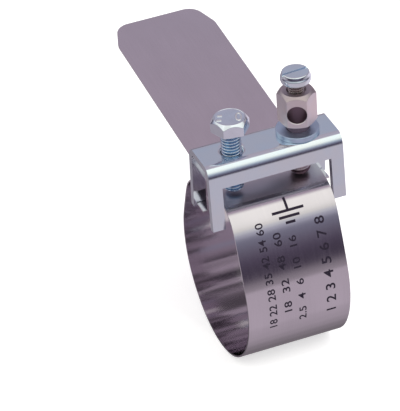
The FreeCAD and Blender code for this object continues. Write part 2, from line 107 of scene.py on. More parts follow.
def angle(name, description, degrees):
    """An angle property, given in degrees."""
    return FloatProperty(
        name=name, description=description, default=math.radians(degrees), subtype="ANGLE"
    )


def share(name, description, default):
    """A property between nought and one."""
    return FloatProperty(
        name=name, description=description, default=default, min=0.0, max=1.0, subtype="FACTOR"
    )


def colour(name, description, default):
    """A linear colour property."""
    return FloatVectorProperty(
        name=name, description=description, default=default, size=3, min=0.0, max=4.0, subtype="COLOR"
    )


class StrapSizes(bpy.types.PropertyGroup):
    """Sizes of the stainless strap and of its print."""

    pipe_radius: length("Pipe radius", "Radius of the pipe in the loop", PIPE_RADIUS)
    width: length("Strap width", "Width of the strap", STRAP_WIDTH)
    thickness: length("Strap thickness", "Thickness of the strap", 0.5 * MM)
    tee_width: length("Hook width", "Width of the hooked end", STRAP_BOX[1][0] - STRAP_BOX[0][0])
    tee_length: length("Hook length", "Length of the wide part of the hooked end", 5.0 * MM)
    tee_gap: length("Hook gap", "Gap between the hooked end and the pipe", 0.6 * MM)
    hook_reach: length("Hook reach", "Where the hooked end starts, along the tail", -4.02 * MM)
    back_lift: angle("Back lift", "Where the strap leaves the pipe at the back", 20.0)
    back_bend: length("Back bend", "Radius of the bend behind the pipe", 12.0 * MM)
    front_lift: angle("Front lift", "Where the strap leaves the pipe at the front", 20.0)
    front_bend: length("Front bend", "Radius of the bend in front", 10.0 * MM)
    rise_turn: angle("Rise bow", "How much the front rise bows outwards", 5.0)
    tail_slope: angle("Tail slope", "Rise of the tail", 4.86)
    tail_height: length("Tail height", "Height of the tail's middle under the screws", 31.25 * MM)
    tail_end: length("Tail end", "Reach of the tail's end", STRAP_BOX[1][1] - 0.07 * MM)
    corner_length: length("Corner length", "Length of the slanted corner cut", 9.8 * MM)
    corner_width: length("Corner width", "Width of the slanted corner cut", 3.25 * MM)
    tip_radius: length("Tip radius", "Rounding of the tail's end corners", 5.0 * MM)
    shoulder_radius: length("Shoulder radius", "Rounding where the corner cut starts", 8.0 * MM)
    softness: length("Bend softness", "How gently the bends begin and end", 1.4 * MM)
    edge_radius: length("Edge radius", "Rounding of the slit edges", 0.13 * MM)


class BridgeSizes(bpy.types.PropertyGroup):
    """Sizes of the pressed bridge and its collars."""

    length: length("Bridge length", "Length along the pipe", BRIDGE_BOX[1][0] - BRIDGE_BOX[0][0])
    top: length("Top height", "Height of the plate's top", BRIDGE_BOX[1][2])
    foot: length("Foot height", "Height of the legs' feet", BRIDGE_BOX[0][2])
    middle: length("Middle line", "Reach of the bridge's middle line", middle(BRIDGE_BOX, 1))
    sheet: length("Sheet", "Thickness of the sheet", 2.0 * MM)
    bend: length("Outer bend", "Radius of the bends next to the plate", 2.7 * MM)
    bow: length("Bow", "Radius of the slow curve below each bend", 11.5 * MM)
    nose: length("Nose", "Radius where that curve meets the flange", 2.2 * MM)
    flare: angle("Flare", "Flare of the flanges", 3.0)
    leg: length("Leg width", "Width of a leg", 3.9 * MM)
    window_top: length("Window top", "Height of the windows' upper edge", 38.7 * MM)
    collar_radius: length("Collar radius", "Outer radius of the drawn collars", 4.5 * MM)
    collar_drop: length("Collar drop", "Depth of the drawn collars", 2.0 * MM)
    hole_radius: length("Hole radius", "Radius of the threaded holes", 3.04 * MM)
    edge_radius: length("Edge radius", "Rounding of the pressed edges", 0.28 * MM)
    mouth_round: length("Mouth rounding", "Radius of the rounded hole mouth at the bolt", 1.2 * MM)


class ScrewSizes(bpy.types.PropertyGroup):
    """Sizes of the bolt, the post and the terminal screw."""

    thread_radius: length("Thread radius", "Crest radius of the bolt and the stud", 2.98 * MM)
    thread_pitch: length("Thread pitch", "Pitch of the bolt and the stud", 1.0 * MM)
    thread_depth: length("Thread depth", "Depth of the bolt's and the stud's thread", 0.58 * MM)
    flats: length("Across flats", "Width across flats of both hexagons", 10.0 * MM)
    head_height: length("Head height", "Height of the bolt's head", 4.0 * MM)
    head_turn: angle("Head turn", "Turn of the bolt's head", -39.5)
    head_face: length("Head face", "Radius of the flat inside the bolt head's rim", 4.2 * MM)
    head_rim: length("Head rim", "Outer radius of that rim", 4.56 * MM)
    rim_height: length("Rim height", "Height of that rim over the flat", 0.13 * MM)
    head_chamfer: angle("Head chamfer", "Slope of the bolt head's chamfer", 52.0)
    post_height: length("Post height", "Height of the post's hexagon", 10.4 * MM)
    post_face: length("Post face", "Radius of the flat on top of the post", 4.4 * MM)
    post_chamfer: angle("Post chamfer", "Slope of the post's upper chamfer", 47.5)
    post_foot_face: length("Post foot", "Radius of the post's foot", 4.75 * MM)
    post_foot_chamfer: angle("Foot chamfer", "Slope of the post's lower chamfer", 25.0)
    neck_radius: length("Neck radius", "Radius of the round neck under the post", 3.45 * MM)
    neck_height: length("Neck height", "Height of the round neck under the post", 2.4 * MM)
    end_radius: length("End radius", "Radius of the bolt's and the stud's flat end", 2.3 * MM)
    tapped_radius: length("Tapped hole", "Radius of the tapped hole in the post", 2.54 * MM)
    crown_face: length("Crown face", "Radius of the terminal screw's head at its top", 3.89 * MM)
    crown_drop: length("Crown drop", "Height of the head's steep upper cone", 1.05 * MM)
    crown_cone: length("Crown cone", "Radius where that cone ends", 4.213 * MM)
    crown_radius: length("Crown radius", "Radius of the head's upright side", 4.45 * MM)
    crown_side: length("Crown side", "Height of the head's upright side", 1.1 * MM)
    crown_seat: length("Crown seat", "Height of the head's underside over the post", 2.64 * MM)
    point_length: length("Point length", "Length of the terminal screw's point", 2.3 * MM)
    small_radius: length("Small thread", "Crest radius of the terminal screw", 2.47 * MM)
    small_pitch: length("Small pitch", "Pitch of the terminal screw", 0.8 * MM)
    small_depth: length("Small depth", "Depth of the terminal screw's thread", 0.44 * MM)
    slot_width: length("Slot width", "Width of the driver slot", 0.85 * MM)
    slot_depth: length("Slot depth", "Depth of the driver slot", 0.6 * MM)
    slot_turn: angle("Slot turn", "Turn of the driver slot", 3.8)
    columns: IntProperty(name="Columns", description="Faces round a screw", default=96, min=24)


class Finishes(bpy.types.PropertyGroup):
    """Base colours and roughness of the metals, the painted shade colours, and the colour of the
    print.
    """

    stainless: colour("Stainless", "Colour of the strap", (0.635, 0.593, 0.642))
    stainless_rough: share("Stainless roughness", "Roughness of the strap", 0.09)
    zinc: colour("Zinc", "Colour of the plated bridge", (0.704, 0.78, 0.856))
    zinc_rough: share("Zinc roughness", "Roughness of the bridge and the bolt", 0.1)
    bolt_zinc: colour("Bolt zinc", "Colour of the clamp bolt", (0.718, 0.759, 0.835))
    # Painted shade, partly the plating's own bluish tint: the dark colour on the bolt's thread,
    # strongest in the roots
    groove_blue_and_shade: colour("Blue zinc", "Tint in the grooves of the clamp bolt", (0.15, 0.3, 0.49))
    nickel: colour("Nickel", "Colour of the terminal post", (0.704, 0.649, 0.69))
    nickel_rough: share("Nickel roughness", "Roughness of the terminal post", 0.42)
    # Painted shade: a dark colour put in the post's holes, on its neck and the stud's end, and at
    # half strength on its top
    bore_shade: colour("Bore", "Colour inside the post's holes", (0.2, 0.133, 0.165))
    ink: colour("Ink", "Colour of the print", (0.0182, 0.0143, 0.0234))


class StudioSettings(bpy.types.PropertyGroup):
    """The floor, the surroundings and the lamp."""

    floor_radius: length("Floor radius", "Radius of the round floor", 0.62)
    sky_front: colour("Front light", "Surroundings above the front", (1.23, 1.25, 1.15))
    sky_back: colour("Back light", "Surroundings above the back", (0.48, 0.414, 0.482))
    ground: colour("Ground", "Floor as the metal mirrors it", (0.585, 0.521, 0.578))
    horizon: colour("Horizon", "Dark band along the horizon", (0.0652, 0.0522, 0.0812))
    lamp_power: FloatProperty(
        name="Lamp", description="Power of the soft lamp", default=3.0, unit="POWER"
    )


# Meshes from arrays


def grid_faces(rows, columns, closed=False, start=0):
    """Quads of a grid whose points are counted along the columns first. A closed grid joins its
    last column to its first."""
    i = np.arange(rows - 1)[:, None]
    j = np.arange(columns if closed else columns - 1)[None, :]
    k = (j + 1) % columns
    a = i * columns + j
    b = i * columns + k
    quads = np.stack([a, b, b + columns, a + columns], axis=-1)
    return quads.reshape(-1, 4) + start


def mesh_object(name, points, faces, uv=None):
    """A mesh object at the origin from an array of points and an array of faces that all have
    the same number of corners."""
    mesh = bpy.data.meshes.new(name)
    points = np.asarray(points, np.float32).reshape(-1, 3)
    faces = np.asarray(faces, np.int32)
    mesh.vertices.add(len(points))
    mesh.vertices.foreach_set("co", points.ravel())
    mesh.loops.add(faces.size)
    mesh.loops.foreach_set("vertex_index", faces.ravel())
    mesh.polygons.add(len(faces))
    mesh.polygons.foreach_set("loop_start", np.arange(0, faces.size, faces.shape[1], dtype=np.int32))
    mesh.update(calc_edges=True)
    if uv is not None:
        layer = mesh.uv_layers.new(name="Across_along")
        layer.data.foreach_set("uv", np.asarray(uv, np.float32)[faces.ravel()].ravel())
    mesh.polygons.foreach_set("use_smooth", np.ones(len(faces), bool))
    mesh.validate()
    piece = bpy.data.objects.new(name, mesh)
    bpy.context.scene.collection.objects.link(piece)
    return piece


def weld(piece, distance=0.0001 * MM, closed=True):
    """Merge doubled points and, on a closed piece, turn every face outwards."""
    work = bmesh.new()
    work.from_mesh(piece.data)
    bmesh.ops.remove_doubles(work, verts=work.verts, dist=distance)
    if closed:
        bmesh.ops.dissolve_degenerate(work, edges=work.edges, dist=distance)
        bmesh.ops.recalc_face_normals(work, faces=work.faces)
    work.to_mesh(piece.data)
    work.free()
    piece.data.update()


def sharpen(piece, degrees):
    """Shade smooth except across edges that turn more than an angle."""
    piece.data.polygons.foreach_set("use_smooth", np.ones(len(piece.data.polygons), bool))
    piece.data.set_sharp_from_angle(angle=math.radians(degrees))


def join_arrays(parts):
    """One list of points and one of faces from several (points, faces) pairs."""
    points, faces, start = [], [], 0
    for some_points, some_faces in parts:
        some_points = np.asarray(some_points).reshape(-1, 3)
        points.append(some_points)
        faces.append(np.asarray(some_faces) + start)
        start += len(some_points)
    return np.concatenate(points), np.concatenate(faces)


def round_edges(piece, width, segments, degrees=35.0):
    """A bevel on every edge that turns more than an angle, with the flats shaded flat."""
    bevel = piece.modifiers.new("Rounded_edges", "BEVEL")
    bevel.width = width
    bevel.segments = segments
    bevel.limit_method = "ANGLE"
    bevel.angle_limit = math.radians(degrees)
    bevel.harden_normals = True
    bevel.use_clamp_overlap = True


def rounded_rows(corners, rounding, steps=4):
    """Rows of a turned profile. corners is an array (corner, column, 2) of radius and height, and
    rounding gives each corner's cut. A rounded corner becomes the curve of second degree that
    starts that far before it, is drawn to it, and ends that far behind it, or at most a little
    less than half a side away."""
    most = 0.45
    rows = [corners[0]]
    for k in range(1, len(corners) - 1):
        here, before, after = corners[k], corners[k - 1], corners[k + 1]
        cut = rounding[k]
        if cut <= 0.0:
            rows.append(here)
            continue
        back = before - here
        onward = after - here
        back_length = np.linalg.norm(back, axis=-1, keepdims=True)
        onward_length = np.linalg.norm(onward, axis=-1, keepdims=True)
        p0 = here + back / back_length * np.minimum(cut, most * back_length)
        p2 = here + onward / onward_length * np.minimum(cut, most * onward_length)
        for t in np.linspace(0.0, 1.0, steps + 1):
            rows.append((1 - t) ** 2 * p0 + 2 * t * (1 - t) * here + t**2 * p2)
    rows.append(corners[-1])
    return np.stack(rows)


def level(radius, height, columns):
    """One corner of a round profile: the same radius and height in every column."""
    return np.stack([np.full(columns, radius), np.full(columns, height)], axis=-1)


def hexagon_radius(theta, flats, turn, sharpness=70.0):
    """Distance from the axis to a hexagon's side in each direction: half the width across flats
    over the cosine to the nearest flat. The cosines to all six are raised to a high power, added
    and brought back by the root, and that rounds the corners a little."""
    normals = turn + math.radians(-60.0) + np.arange(6) * TURN / 6
    cosines = np.maximum(np.cos(theta[:, None] - normals[None, :]), 0.0)
    return 0.5 * flats / (cosines**sharpness).sum(axis=1) ** (1.0 / sharpness)


def thread_rows(theta, high, low, crest, depth, pitch, run_out, per_pitch=20, end_radius=None):
    """Rows of a right-hand screw thread from a high to a low place, and how deep its groove is at
    each point. The radius falls from the crest by the depth times a trapezium wave of (height
    over pitch minus turn), a little eased, with a flat crest an eighth and a root a quarter of
    the pitch wide. The depth grows from nothing over the run-out, and where an end radius is
    given, a cone from it at the lowest row limits the radius."""
    heights = np.append(np.arange(high, low, -pitch / per_pitch), low)
    z = heights[:, None]
    crest_share, root_share = 0.125, 0.25
    away = np.abs(2.0 * ((z / pitch - theta[None, :] / TURN) % 1.0) - 1.0)
    wave = np.clip((away - crest_share) / (1.0 - root_share - crest_share), 0.0, 1.0)
    wave = wave * wave * (3.0 - 2.0 * wave) * 0.35 + wave * 0.65
    groove = wave * np.clip((high - 0.05 * MM - z) / run_out, 0.0, 1.0)
    radius = crest - depth * groove
    if end_radius is not None:
        radius = np.minimum(radius, end_radius + (z - low))
    return np.stack([radius, np.broadcast_to(z, radius.shape)], axis=-1), groove


def turned_about(x, y, turn, centre):
    """X and Y turned about nought by an angle, then moved to a centre."""
    c, s = math.cos(turn), math.sin(turn)
    return centre[0] + c * x - s * y, centre[1] + s * x + c * y


def turned_points(rows, theta, centre):
    """Points of a turned surface: radius times cosine and sine of the turn, and the height."""
    radius, height = rows[..., 0], rows[..., 1]
    x = centre[0] + radius * np.cos(theta)[None, :]
    y = centre[1] + radius * np.sin(theta)[None, :]
    return np.stack([x, y, height], axis=-1)


def turned_piece(name, rows, theta, centre, groove=None):
    """A closed turned piece from its rows of radius and height, with a mask of painted shade on the
    threads and the neck kept on its points where it is given."""
    points = turned_points(rows, theta, centre)
    faces = grid_faces(points.shape[0], points.shape[1], closed=True)
    piece = mesh_object(name, points, faces)
    if groove is not None:
        mask = piece.data.attributes.new("groove", "FLOAT", "POINT")
        mask.data.foreach_set("value", groove.astype(np.float32).ravel())
    weld(piece)
    return piece


def cut_away(piece, tool):
    """Take the tool's solid away from the piece and remove the tool."""
    cut = piece.modifiers.new("Cut", "BOOLEAN")
    cut.operation = "DIFFERENCE"
    cut.solver = "EXACT"
    cut.object = tool
    bpy.context.view_layer.update()
    graph = bpy.context.evaluated_depsgraph_get()
    mesh = bpy.data.meshes.new_from_object(piece.evaluated_get(graph))
    piece.modifiers.clear()
    piece.data = mesh
    bpy.data.objects.remove(tool)
    if not len(mesh.polygons):
        raise RuntimeError(piece.name + " was cut away whole")


def finish_piece(piece, body, finishes, nodes=()):
    """Give a piece its finishes by name, its body and the CAD nodes that it stands
    for."""
    piece.data.materials.clear()
    for name in finishes:
        piece.data.materials.append(bpy.data.materials[name])
    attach(piece, body)
    if nodes:
        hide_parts(*nodes)


# The strap


def loop_radius(sizes):
    """Radius of the strap's middle line round the pipe, with the strap bedded in a little."""
    return sizes.pipe_radius + sizes.thickness / 2 - 0.03 * MM


def strap_segments(sizes, front_extra, back_extra):
    """The strap's route as (length, turn) pairs, from the hooked end to the end of the tail. Each
    turn is clockwise seen from the right end of the pipe, in radians."""
    loop = loop_radius(sizes)
    hook_z = loop + sizes.tee_gap
    back, front, slope = sizes.back_lift, sizes.front_lift, sizes.tail_slope
    bend, bow = sizes.back_bend, sizes.rise_turn
    back_run = (hook_z - bend * (1 - math.sin(back)) - loop * math.sin(back)) / math.cos(back)
    back_top_y = loop * math.cos(back) - back_run * math.sin(back)
    hook_run = back_top_y - bend * math.cos(back) - sizes.hook_reach

    def miss(run):
        """How far the front bend ends above the tail's line after this straight run."""
        y = -loop * math.cos(front) + run * math.sin(front)
        z = loop * math.sin(front) + run * math.cos(front)
        y += sizes.front_bend * (math.cos(front) - math.sin(slope))
        z += sizes.front_bend * (math.cos(slope) - math.sin(front))
        wanted = sizes.tail_height + math.tan(slope) * (y - middle(BRIDGE_BOX, 1))
        return z - wanted, y

    front_run = -miss(0.0)[0] * MM / (miss(MM)[0] - miss(0.0)[0])
    tail_run = (sizes.tail_end - miss(front_run)[1]) / math.cos(slope)
    quarter = math.pi / 2
    return [
        (hook_run, 0.0),
        (bend * (quarter - back), quarter - back),
        (back_run + back_extra, 0.0),
        (loop * (math.pi + back + front - bow / 2), math.pi + back + front - bow / 2),
        (front_run + front_extra, bow),
        (sizes.front_bend * (quarter - front - slope - bow / 2), quarter - front - slope - bow / 2),
        (tail_run, 0.0),
    ]


def integrate_route(sizes, segments):
    """The strap's middle line. The direction is the running sum of the curvature, softened by a
    bell curve, and the line is the running sum of the direction's cosine and sine. It is moved
    so that the loop's centre is the origin."""
    step = 0.02 * MM
    total = sum(run for run, _ in segments)
    s = np.arange(0.0, total + step, step)
    s[-1] = total
    curvature = np.zeros_like(s)
    at = 0.0
    marks = [0.0]
    for run, turned in segments:
        inside = (s >= at) & (s < at + run)
        curvature[inside] = -turned / run
        at += run
        marks.append(at)
    half = int(4 * sizes.softness / step)
    bell = np.exp(-0.5 * (np.arange(-half, half + 1) * step / sizes.softness) ** 2)
    padded = np.concatenate([np.zeros(half), curvature, np.zeros(half)])
    curvature = np.convolve(padded, bell / bell.sum(), mode="valid")
    heading = np.concatenate([[0.0], np.cumsum((curvature[1:] + curvature[:-1]) / 2 * np.diff(s))])
    cosine, sine = np.cos(heading), np.sin(heading)
    y = np.concatenate([[0.0], np.cumsum((cosine[1:] + cosine[:-1]) / 2 * np.diff(s))])
    z = np.concatenate([[0.0], np.cumsum((sine[1:] + sine[:-1]) / 2 * np.diff(s))])
    loop = loop_radius(sizes)
    k = int(np.searchsorted(s, (marks[3] + marks[4]) / 2))
    y -= y[k] + sine[k] * loop
    z -= z[k] - cosine[k] * loop
    return {"s": s, "y": y, "z": z, "heading": heading, "curvature": curvature, "marks": marks}


def strap_route(sizes):
    """The middle line, with its two straight runs and its end lengthened in four rounds until
    the hook and the tail lie on their own lines and the tail ends where it should."""
    front_extra = back_extra = tail_extra = 0.0
    for _ in range(4):
        segments = strap_segments(sizes, front_extra, back_extra)
        segments[-1] = (segments[-1][0] + tail_extra, 0.0)
        route = integrate_route(sizes, segments)
        y, z = route["y"], route["z"]
        k = int(np.searchsorted(route["s"], route["marks"][6] + 0.02))
        wanted = sizes.tail_height + math.tan(sizes.tail_slope) * (y[k] - middle(BRIDGE_BOX, 1))
        front_extra -= (z[k] - wanted) * math.cos(sizes.tail_slope) / math.cos(
            sizes.front_lift + sizes.tail_slope
        )
        wanted = sizes.pipe_radius + sizes.thickness / 2 + sizes.tee_gap
        back_extra -= (z[0] - wanted) / math.cos(sizes.back_lift)
        tail_extra -= (y[-1] - sizes.tail_end) / math.cos(sizes.tail_slope)
    return route


def along_route(route, s, offset):
    """Y and Z at a length along the strap, moved outwards from its middle line."""
    y = np.interp(s, route["s"], route["y"])
    z = np.interp(s, route["s"], route["z"])
    heading = np.interp(s, route["s"], route["heading"])
    return y - np.sin(heading) * offset, z + np.cos(heading) * offset


def tail_half_width(sizes, q):
    """Half the strap's width at a distance q from the tail's end: an arc at the tip, the slanted
    cut, an arc at the shoulder, then the full width."""
    half = sizes.width / 2
    slant = math.atan2(sizes.corner_length, sizes.corner_width)
    tip, shoulder = sizes.tip_radius, sizes.shoulder_radius
    tip_cut = tip * math.tan(slant / 2)
    shoulder_turn = math.pi / 2 - slant
    shoulder_cut = shoulder * math.tan(shoulder_turn / 2)
    corner = half - sizes.corner_width
    tip_end = tip_cut * math.sin(slant)
    shoulder_start = sizes.corner_length - shoulder_cut * math.sin(slant)
    shoulder_end = sizes.corner_length + shoulder_cut
    tip_arc = corner - tip_cut + np.sqrt(np.maximum(tip**2 - (tip - q) ** 2, 0.0))
    line = corner + q / math.tan(slant)
    shoulder_arc = (
        half - shoulder + np.sqrt(np.maximum(shoulder**2 - (shoulder_end - q) ** 2, 0.0))
    )
    width = np.where(q < tip_end, tip_arc, line)
    width = np.where(q > shoulder_start, shoulder_arc, width)
    return np.where(q > shoulder_end, half, width)


def strap_rows(sizes, route):
    """Lengths along the strap at which it gets a row of points: closer where it bends, and close
    together at the hook's shoulder and round the tail's corners."""
    s = route["s"]
    longest, most_turned = 1.2 * MM, math.radians(1.0)
    density = 1.0 / longest + np.abs(route["curvature"]) / most_turned
    count = np.concatenate([[0.0], np.cumsum((density[1:] + density[:-1]) / 2 * np.diff(s))])
    even = np.interp(np.linspace(0.0, count[-1], int(count[-1])), count, s)
    end = route["marks"][-1]
    tip = end - 4.0 * MM * (1.0 - np.cos(np.linspace(0.0, math.pi / 2, 14)))
    shoulder = end - np.linspace(4.4, 13.0, 18) * MM
    tee = sizes.tee_length
    keep = (even > tee + 0.6 * MM) & (even < end - 13.4 * MM)
    special = np.array([0.0, 1.6 * MM, 3.2 * MM, tee - 0.25 * MM, tee])
    return np.unique(np.concatenate([special, even[keep], tip, shoulder]))


def build_strap(sizes, route):
    """The strap as one closed band: the point across the width and along the route, moved half
    the thickness outwards for the outer face and inwards for the inner one."""
    s = strap_rows(sizes, route)
    end = route["marks"][-1]
    half = tail_half_width(sizes, end - s)
    half = np.where(s < sizes.tee_length - 0.1 * MM, sizes.tee_width / 2, half)
    across = np.linspace(-1.0, 1.0, 17)
    u = half[:, None] * across[None, :]
    shape = u.shape
    sides = []
    for offset in (sizes.thickness / 2, -sizes.thickness / 2):
        y, z = along_route(route, s, offset)
        sides.append(
            np.stack([u, np.broadcast_to(y[:, None], shape), np.broadcast_to(z[:, None], shape)], -1)
        )
    rows, columns = shape
    outer = grid_faces(rows, columns)
    start = rows * columns
    inner = grid_faces(rows, columns, start=start)[:, ::-1]
    i = np.arange(rows - 1) * columns
    left = np.stack([i, i + columns, i + columns + start, i + start], -1)
    k = i + columns - 1
    right = np.stack([k, k + start, k + columns + start, k + columns], -1)
    j = np.arange(columns - 1)
    hook = np.stack([j + 1, j, j + start, j + 1 + start], -1)
    m = j + (rows - 1) * columns
    tip = np.stack([m, m + 1, m + 1 + start, m + start], -1)
    faces = np.concatenate([outer, inner, left, right, hook, tip])
    uv = np.stack([np.tile(u.ravel(), 2), np.tile(np.repeat(s, columns), 2)], -1)
    piece = mesh_object("strap_band", np.stack(sides), faces, uv)
    round_edges(piece, sizes.edge_radius, segments=2)
    return piece


# The print on the strap: plain numbers and an earth sign, bent round the strap


def text_outline(words, height, run):
    """A flat outline of a line of figures, starting at nought, with a given height and length."""
    curve = bpy.data.curves.new("figures", "FONT")
    curve.body = words
    curve.size = 1.0
    curve.space_character = 1.05
    curve.offset = 0.014
    holder = bpy.data.objects.new("figures", curve)
    bpy.context.scene.collection.objects.link(holder)
    bpy.context.view_layer.update()
    graph = bpy.context.evaluated_depsgraph_get()
    mesh = bpy.data.meshes.new_from_object(holder.evaluated_get(graph))
    bpy.data.objects.remove(holder)
    bpy.data.curves.remove(curve)
    work = bmesh.new()
    work.from_mesh(mesh)
    bpy.data.meshes.remove(mesh)
    bmesh.ops.triangulate(work, faces=work.faces)
    capital_share = 0.7
    scale = height / capital_share
    wide = max(v.co.x for v in work.verts) - min(v.co.x for v in work.verts)
    bmesh.ops.scale(work, vec=(run / wide, scale, scale), verts=work.verts)
    return work


def bars_outline(bars):
    """A flat outline of bars, each given as (x, y, width, height)."""
    work = bmesh.new()
    for x, y, width, height in bars:
        corners = [(x, y), (x + width, y), (x + width, y + height), (x, y + height)]
        work.faces.new([work.verts.new((a, b, 0.0)) for a, b in corners])
    return work


def lay_on_strap(work, route, sizes, at_s, at_u, lift):
    """Cut a flat outline into short lengths and bend it round the strap: its x runs along the
    strap and its y towards the left edge."""
    low = min(v.co.x for v in work.verts)
    high = max(v.co.x for v in work.verts)
    step = 0.5 * MM
    for x in np.arange(low + step, high, step):
        geometry = list(work.verts) + list(work.edges) + list(work.faces)
        bmesh.ops.bisect_plane(work, geom=geometry, plane_co=(x, 0, 0), plane_no=(1, 0, 0))
    bmesh.ops.triangulate(work, faces=work.faces)
    work.verts.ensure_lookup_table()
    flat = np.array([v.co[:] for v in work.verts])
    faces = np.array([[v.index for v in f.verts] for f in work.faces])
    work.free()
    y, z = along_route(route, at_s + flat[:, 0], sizes.thickness / 2 + lift)
    return np.stack([at_u - flat[:, 1], y, z], -1), faces


def build_print(sizes, route):
    """Four lines of plain figures and an earth sign, as thin ink just above the strap."""
    lift = 0.012 * MM
    front = route["marks"][4]
    parts = []
    # Words, height, start and end along the strap from the loop's front end, and place across
    lines = [
        ("18 22 28 35 42 54 60", 2.3, -13.7, 19.3, -8.3),
        ("18  32  48  60", 2.3, -9.4, 15.2, -3.6),
        ("2.5  4  6  10  16", 2.2, -13.1, 13.9, 0.9),
        ("1 2 3 4 5 6 7 8", 2.9, -13.6, 16.5, 9.9),
    ]
    for words, height, start, end, across in lines:
        work = text_outline(words, height * MM, (end - start) * MM)
        at_u = (across + height / 2) * MM
        parts.append(lay_on_strap(work, route, sizes, front + start * MM, at_u, lift))
    # Each bar's x and y, width and height
    sign = [
        (0.0, -0.4, 3.6, 0.8),
        (-0.8, -4.9, 0.8, 9.8),
        (-2.5, -3.2, 0.8, 6.4),
        (-4.2, -1.5, 0.8, 3.0),
    ]
    bars = [(x * MM, y * MM, w * MM, h * MM) for x, y, w, h in sign]
    parts.append(lay_on_strap(bars_outline(bars), route, sizes, front + 21.8 * MM, 1.4 * MM, lift))
    points, faces = join_arrays(parts)
    return mesh_object("strap_print", points, faces)


# The bridge


def bridge_section(sizes):
    """The bridge's outer line from the front foot over the plate to the back foot, as marks along
    it and a function of the length that gives Y, Z. A run is straight or an arc; along an arc the
    slope grows with the length over the radius."""
    lean = sizes.flare
    half = (BRIDGE_BOX[1][1] - BRIDGE_BOX[0][1]) / 2
    # The arcs' radii and their turns in degrees, which with the flare add up to a quarter turn
    arcs = [(sizes.nose, 13.0), (sizes.bow, 8.0), (sizes.bend, 66.0)]
    slopes = lean + np.radians(np.cumsum([0.0] + [turned for _, turned in arcs]))
    slopes[-1] = math.pi / 2
    rise = sum(r * (math.sin(slopes[k + 1]) - math.sin(slopes[k])) for k, (r, _) in enumerate(arcs))
    reach = sum(r * (math.cos(slopes[k]) - math.cos(slopes[k + 1])) for k, (r, _) in enumerate(arcs))
    leg = (sizes.top - sizes.foot - rise) / math.cos(lean)
    flat = 2 * (half - leg * math.sin(lean) - reach)
    runs = [(leg, lean, None)]
    runs += [(r * (slopes[k + 1] - slopes[k]), slopes[k], r) for k, (r, _) in enumerate(arcs)]
    arc = sum(run for run, _, _ in runs[1:])
    runs.append((flat, math.pi / 2, None))
    to_window = (sizes.window_top - sizes.foot) / math.cos(lean)
    marks = np.cumsum([0.0, to_window, leg - to_window, arc, flat, arc, leg - to_window, to_window])

    def at(v):
        """Y and Z: the sum of what each run adds up to this length, mirrored past the middle."""
        v = np.asarray(v, float)
        mirrored = v > marks[-1] / 2
        w = np.where(mirrored, marks[-1] - v, v)
        y, z = np.full(v.shape, -half), np.full(v.shape, sizes.foot)
        start = 0.0
        for run, slope, radius in runs:
            t = np.clip(w - start, 0.0, run)
            if radius is None:
                y, z = y + t * math.sin(slope), z + t * math.cos(slope)
            else:
                y = y + radius * (math.cos(slope) - np.cos(slope + t / radius))
                z = z + radius * (np.sin(slope + t / radius) - math.sin(slope))
            start += run
        return sizes.middle + np.where(mirrored, -y, y), z

    return marks, at


def block(at, u0, u1, v0, v1, across, along):
    """One rectangular patch of the bridge's outer surface: the section's Y and Z at even lengths
    along it, the same at even places across."""
    u, v = np.meshgrid(np.linspace(u0, u1, across + 1), np.linspace(v0, v1, along + 1))
    y, z = at(v)
    return np.stack([u, y, z], -1), grid_faces(along + 1, across + 1)


def holed_block(at, x, u0, u1, v0, v1, radius, count, rings=5):
    """A patch with a round hole: points blend in a straight line from the circle to the patch's
    edge, along the same direction from the hole's centre."""
    k = np.linspace(0.0, 1.0, count + 1)[:-1]
    u_side = u0 + (u1 - u0) * k
    v_side = v0 + (v1 - v0) * k
    u = np.concatenate([u_side, np.full(count, u1), u1 - (u_side - u0), np.full(count, u0)])
    v = np.concatenate([np.full(count, v0), v_side, np.full(count, v1), v1 - (v_side - v0)])
    middle_v = (v0 + v1) / 2
    bearing = np.arctan2(v - middle_v, u - x)
    t = np.linspace(0.0, 1.0, rings + 1)[:, None] ** 1.3
    uu = (1 - t) * (x + radius * np.cos(bearing)) + t * u
    vv = (1 - t) * (middle_v + radius * np.sin(bearing)) + t * v
    y, z = at(vv)
    faces = grid_faces(rings + 1, 4 * count, closed=True)[:, ::-1]
    return np.stack([uu, y, z], -1), faces


def build_bridge(sizes):
    """The bridge as one bent sheet: patches of its outer surface, thickened inwards."""
    marks, at = bridge_section(sizes)
    half = sizes.length / 2
    leg = half - sizes.leg
    reach = (marks[4] - marks[3]) / 2
    bolt_x, post_x = middle(BOLT_BOX, 0), middle(POST_BOX, 0)
    u = [-half, -leg, bolt_x - reach, bolt_x + reach, post_x - reach, post_x + reach, leg, half]
    mouth = sizes.hole_radius + sizes.mouth_round + 0.06 * MM
    counts_u = [4, 2, 12, 10, 12, 2, 4]
    counts_v = [12, 4, 22, 12, 22, 4, 12]
    parts = []
    # Rows go from the front foot to the back foot; the windows are left out of the first and last
    for row in range(7):
        for column in range(7):
            if row in (0, 6) and column not in (0, 6):
                continue
            patch = (u[column], u[column + 1], marks[row], marks[row + 1])
            if row == 3 and column in (2, 4):
                x, radius = (bolt_x, mouth) if column == 2 else (post_x, sizes.hole_radius)
                parts.append(holed_block(at, x, *patch, radius, 12))
            else:
                parts.append(block(at, *patch, counts_u[column], counts_v[row]))
    points, faces = join_arrays(parts)
    piece = mesh_object("bridge_pressing", points, faces)
    weld(piece, 0.02 * MM, closed=False)
    thick = piece.modifiers.new("Sheet", "SOLIDIFY")
    thick.thickness = sizes.sheet
    thick.offset = -1.0
    thick.use_even_offset = True
    thick.material_offset_rim = 1
    round_edges(piece, sizes.edge_radius, segments=3)
    return piece


